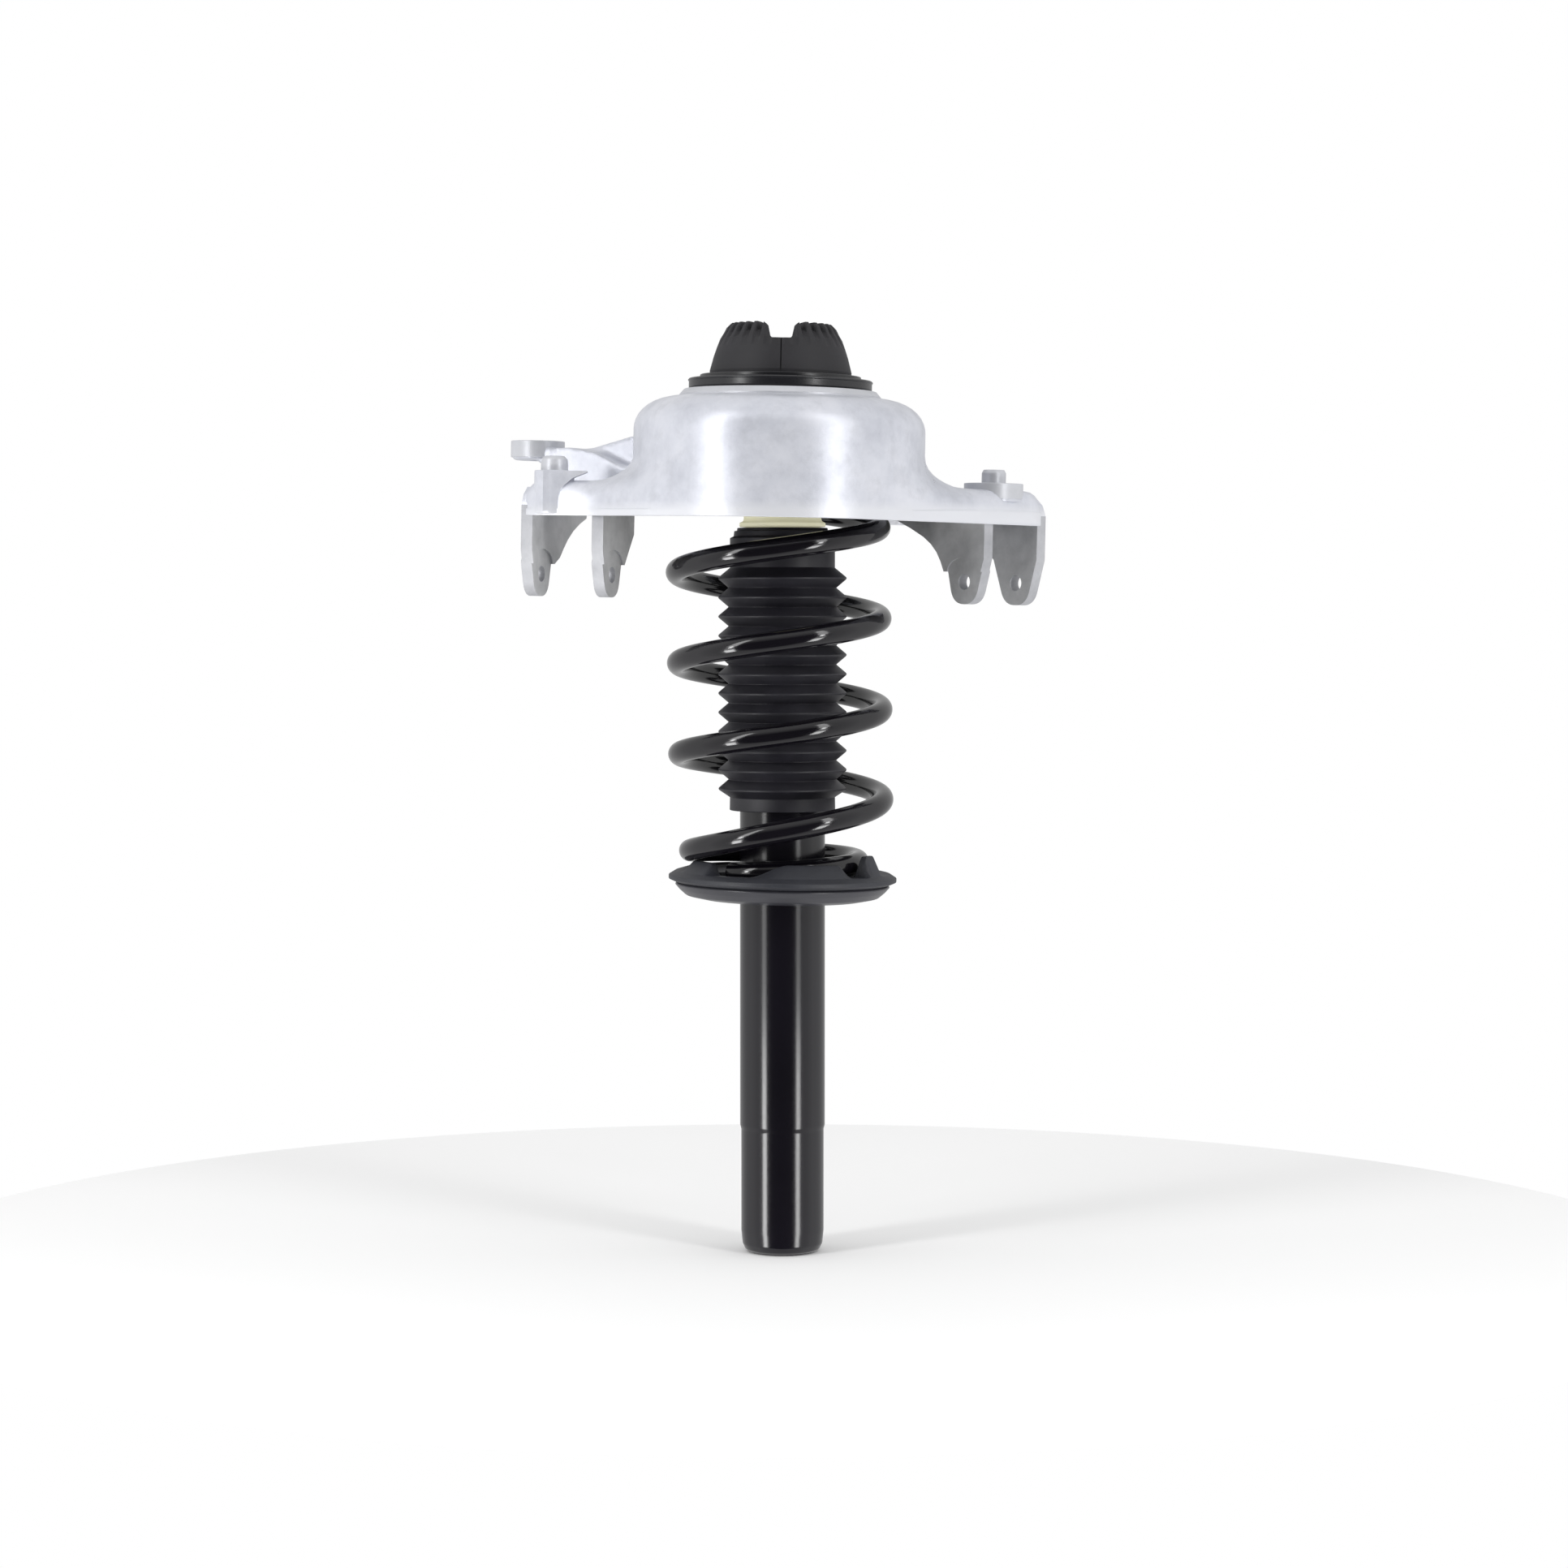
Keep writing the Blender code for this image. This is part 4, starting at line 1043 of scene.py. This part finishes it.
def insulator_profile(angle):
    turned_deg = (math.degrees(angle) - COIL_START_DEG + STOP_ROOM_DEG) % 360.0
    groove = 241.2 + 7.8 * min(1.0, max(0.0, turned_deg - STOP_ROOM_DEG) / 190.0)
    hump = raised(angle, 248.0, 274.0, 305.0, 311.0)
    wedge = raised(angle, 321.0, 326.5, 334.0, 341.0)
    lug = raised(angle, 196.0, 203.0, 222.0, 228.0)
    top = max(248.0 + 8.5 * hump + 13.5 * wedge + 8.0 * lug, groove + 1.5)
    wall = 59.0 + 2.0 * wedge
    return rounded([
        (30.5, 250.0, 0.8), (36.0, 250.0, 1.2), (39.5, groove, 1.5), (56.5, groove, 1.5), (wall, top, 0.9),
        (wall + 3.5, top, 1.5), (70.0, 248.2, 3.0), (74.4, 245.4, 0.8), (74.4, 242.9, 0.8),
        (70.4, 241.2, 0.5),
        (66.0, 239.8, 1.0), (60.0, 235.9, 1.0), (51.0, 233.4), (30.5, 233.4),
    ], steps=4)


def build_insulator():
    mesh = polar_mesh("seat_insulator", insulator_profile, 360, SEAT_LEAN)
    ride_on(new_piece("seat_insulator", mesh, SEAT_RUBBER), "tube", "seat_rubber", "lower_spring_insulator")


# ---- CAD nodes that keep their shape ----

KEPT = {
    "mount_core": STEEL, "top_washer": PLATED, "rod_nut": PLATED, "upper_spring_plate": PAINT,
    "upper_spring_insulator": SEAT_RUBBER, "bump_stop_cup": FLANGE_BLACK, "piston_rod": CHROME,
    "rebound_stop": BEARING, "piston": STEEL, "piston_band": BEARING, "piston_valve_shims": PLATED,
    "piston_nut": PLATED, "base_cap": PAINT, "base_valve": STEEL, "inner_tube": STEEL, "rod_guide": STEEL,
    "rod_seal": SEAT_RUBBER, "tube_end_cap": PLATED,
}


def finish_kept_nodes():
    for name, look in KEPT.items():
        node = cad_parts[name]
        node.data.materials.clear()
        node.data.materials.append(look)
        node.data.shade_smooth()
        node.data.set_sharp_from_angle(angle=math.radians(28))


# ---- studio ----

def build_camera():
    camera = bpy.data.objects.new("camera", bpy.data.cameras.new("camera"))
    bpy.context.scene.collection.objects.link(camera)
    camera.data.lens = CAMERA_LENS
    camera.location = CAMERA_AT
    look = Vector(CAMERA_LOOKS_AT) - Vector(CAMERA_AT)
    camera.rotation_euler = look.to_track_quat("-Z", "Y").to_euler()
    bpy.context.scene.camera = camera


def build_lights():
    for azimuth, share in STRIPS:
        turn = math.radians(azimuth)
        away = Vector((math.sin(turn), -math.cos(turn), 0.0))
        for low, high, width, brightness in STRIP_STRETCHES:
            light = bpy.data.lights.new("strip", "AREA")
            light.shape = "RECTANGLE"
            light.size, light.size_y = width, high - low
            light.energy = share * brightness * math.pi * width * (high - low)
            strip = bpy.data.objects.new("strip", light)
            bpy.context.scene.collection.objects.link(strip)
            strip.location = away * STRIP_DISTANCE + Vector((0.0, 0.0, (low + high) / 2))
            strip.rotation_euler = (-away).to_track_quat("-Z", "Y").to_euler()


def build_surroundings():
    """A white studio whose side behind the camera is unlit, so gloss black keeps a dark core."""
    world = bpy.data.worlds.new("studio")
    bpy.context.scene.world = world
    world.use_nodes = True
    tree = world.node_tree
    background = tree.nodes["Background"]
    place = tree.nodes.new("ShaderNodeTexCoord")
    split = tree.nodes.new("ShaderNodeSeparateXYZ")
    tree.links.new(place.outputs["Generated"], split.inputs["Vector"])
    ring = stepped_range(tree, split.outputs["Y"], STUDIO_RING)
    above = stepped_range(tree, split.outputs["Z"], ((0.35, 0.0), (0.8, OVERHEAD)))
    ray = tree.nodes.new("ShaderNodeLightPath")
    seen = highest(tree, highest(tree, ring, above), ray.outputs["Is Camera Ray"])
    tree.links.new(seen, background.inputs["Strength"])
    background.inputs["Color"].default_value = (1.0, 1.0, 1.0, 1.0)


def highest(tree, first, second):
    node = tree.nodes.new("ShaderNodeMath")
    node.operation = "MAXIMUM"
    tree.links.new(first, node.inputs[0])
    tree.links.new(second, node.inputs[1])
    return node.outputs["Value"]


def stepped_range(tree, value, stops):
    """Straight ramps between (value, result) stops, each added to the last."""
    total = None
    for (a, low), (b, high) in zip(stops, stops[1:]):
        step = tree.nodes.new("ShaderNodeMapRange")
        step.inputs["From Min"].default_value = a
        step.inputs["From Max"].default_value = b
        step.inputs["To Min"].default_value = 0.0 if total else low
        step.inputs["To Max"].default_value = high - low if total else high
        tree.links.new(value, step.inputs["Value"])
        if total:
            both = tree.nodes.new("ShaderNodeMath")
            tree.links.new(total, both.inputs[0])
            tree.links.new(step.outputs["Result"], both.inputs[1])
            total = both.outputs["Value"]
        else:
            total = step.outputs["Result"]
    return total


def build_floor():
    bm = bmesh.new()
    bmesh.ops.create_circle(bm, cap_ends=True, segments=96, radius=FLOOR_R)
    floor = bpy.data.objects.new("floor", bm_to_mesh(bm, "floor"))
    bpy.context.scene.collection.objects.link(floor)
    floor.location.z = -0.001
    look = Nodes("pale_floor")
    look.set(Base_Color=(1.0, 1.0, 1.0, 1.0), Roughness=1.0)
    floor.data.materials.append(look.material)
    floor.visible_glossy = False
    floor.visible_shadow = False


build_camera()
build_lights()
build_surroundings()
build_floor()
bpy.context.scene.view_settings.view_transform = "Standard"

build_casting()
build_machined_faces()
build_flange()
build_cone()
build_spring()
build_boot()
build_bump_stop()
build_tube()
build_pan()
build_insulator()
finish_kept_nodes()
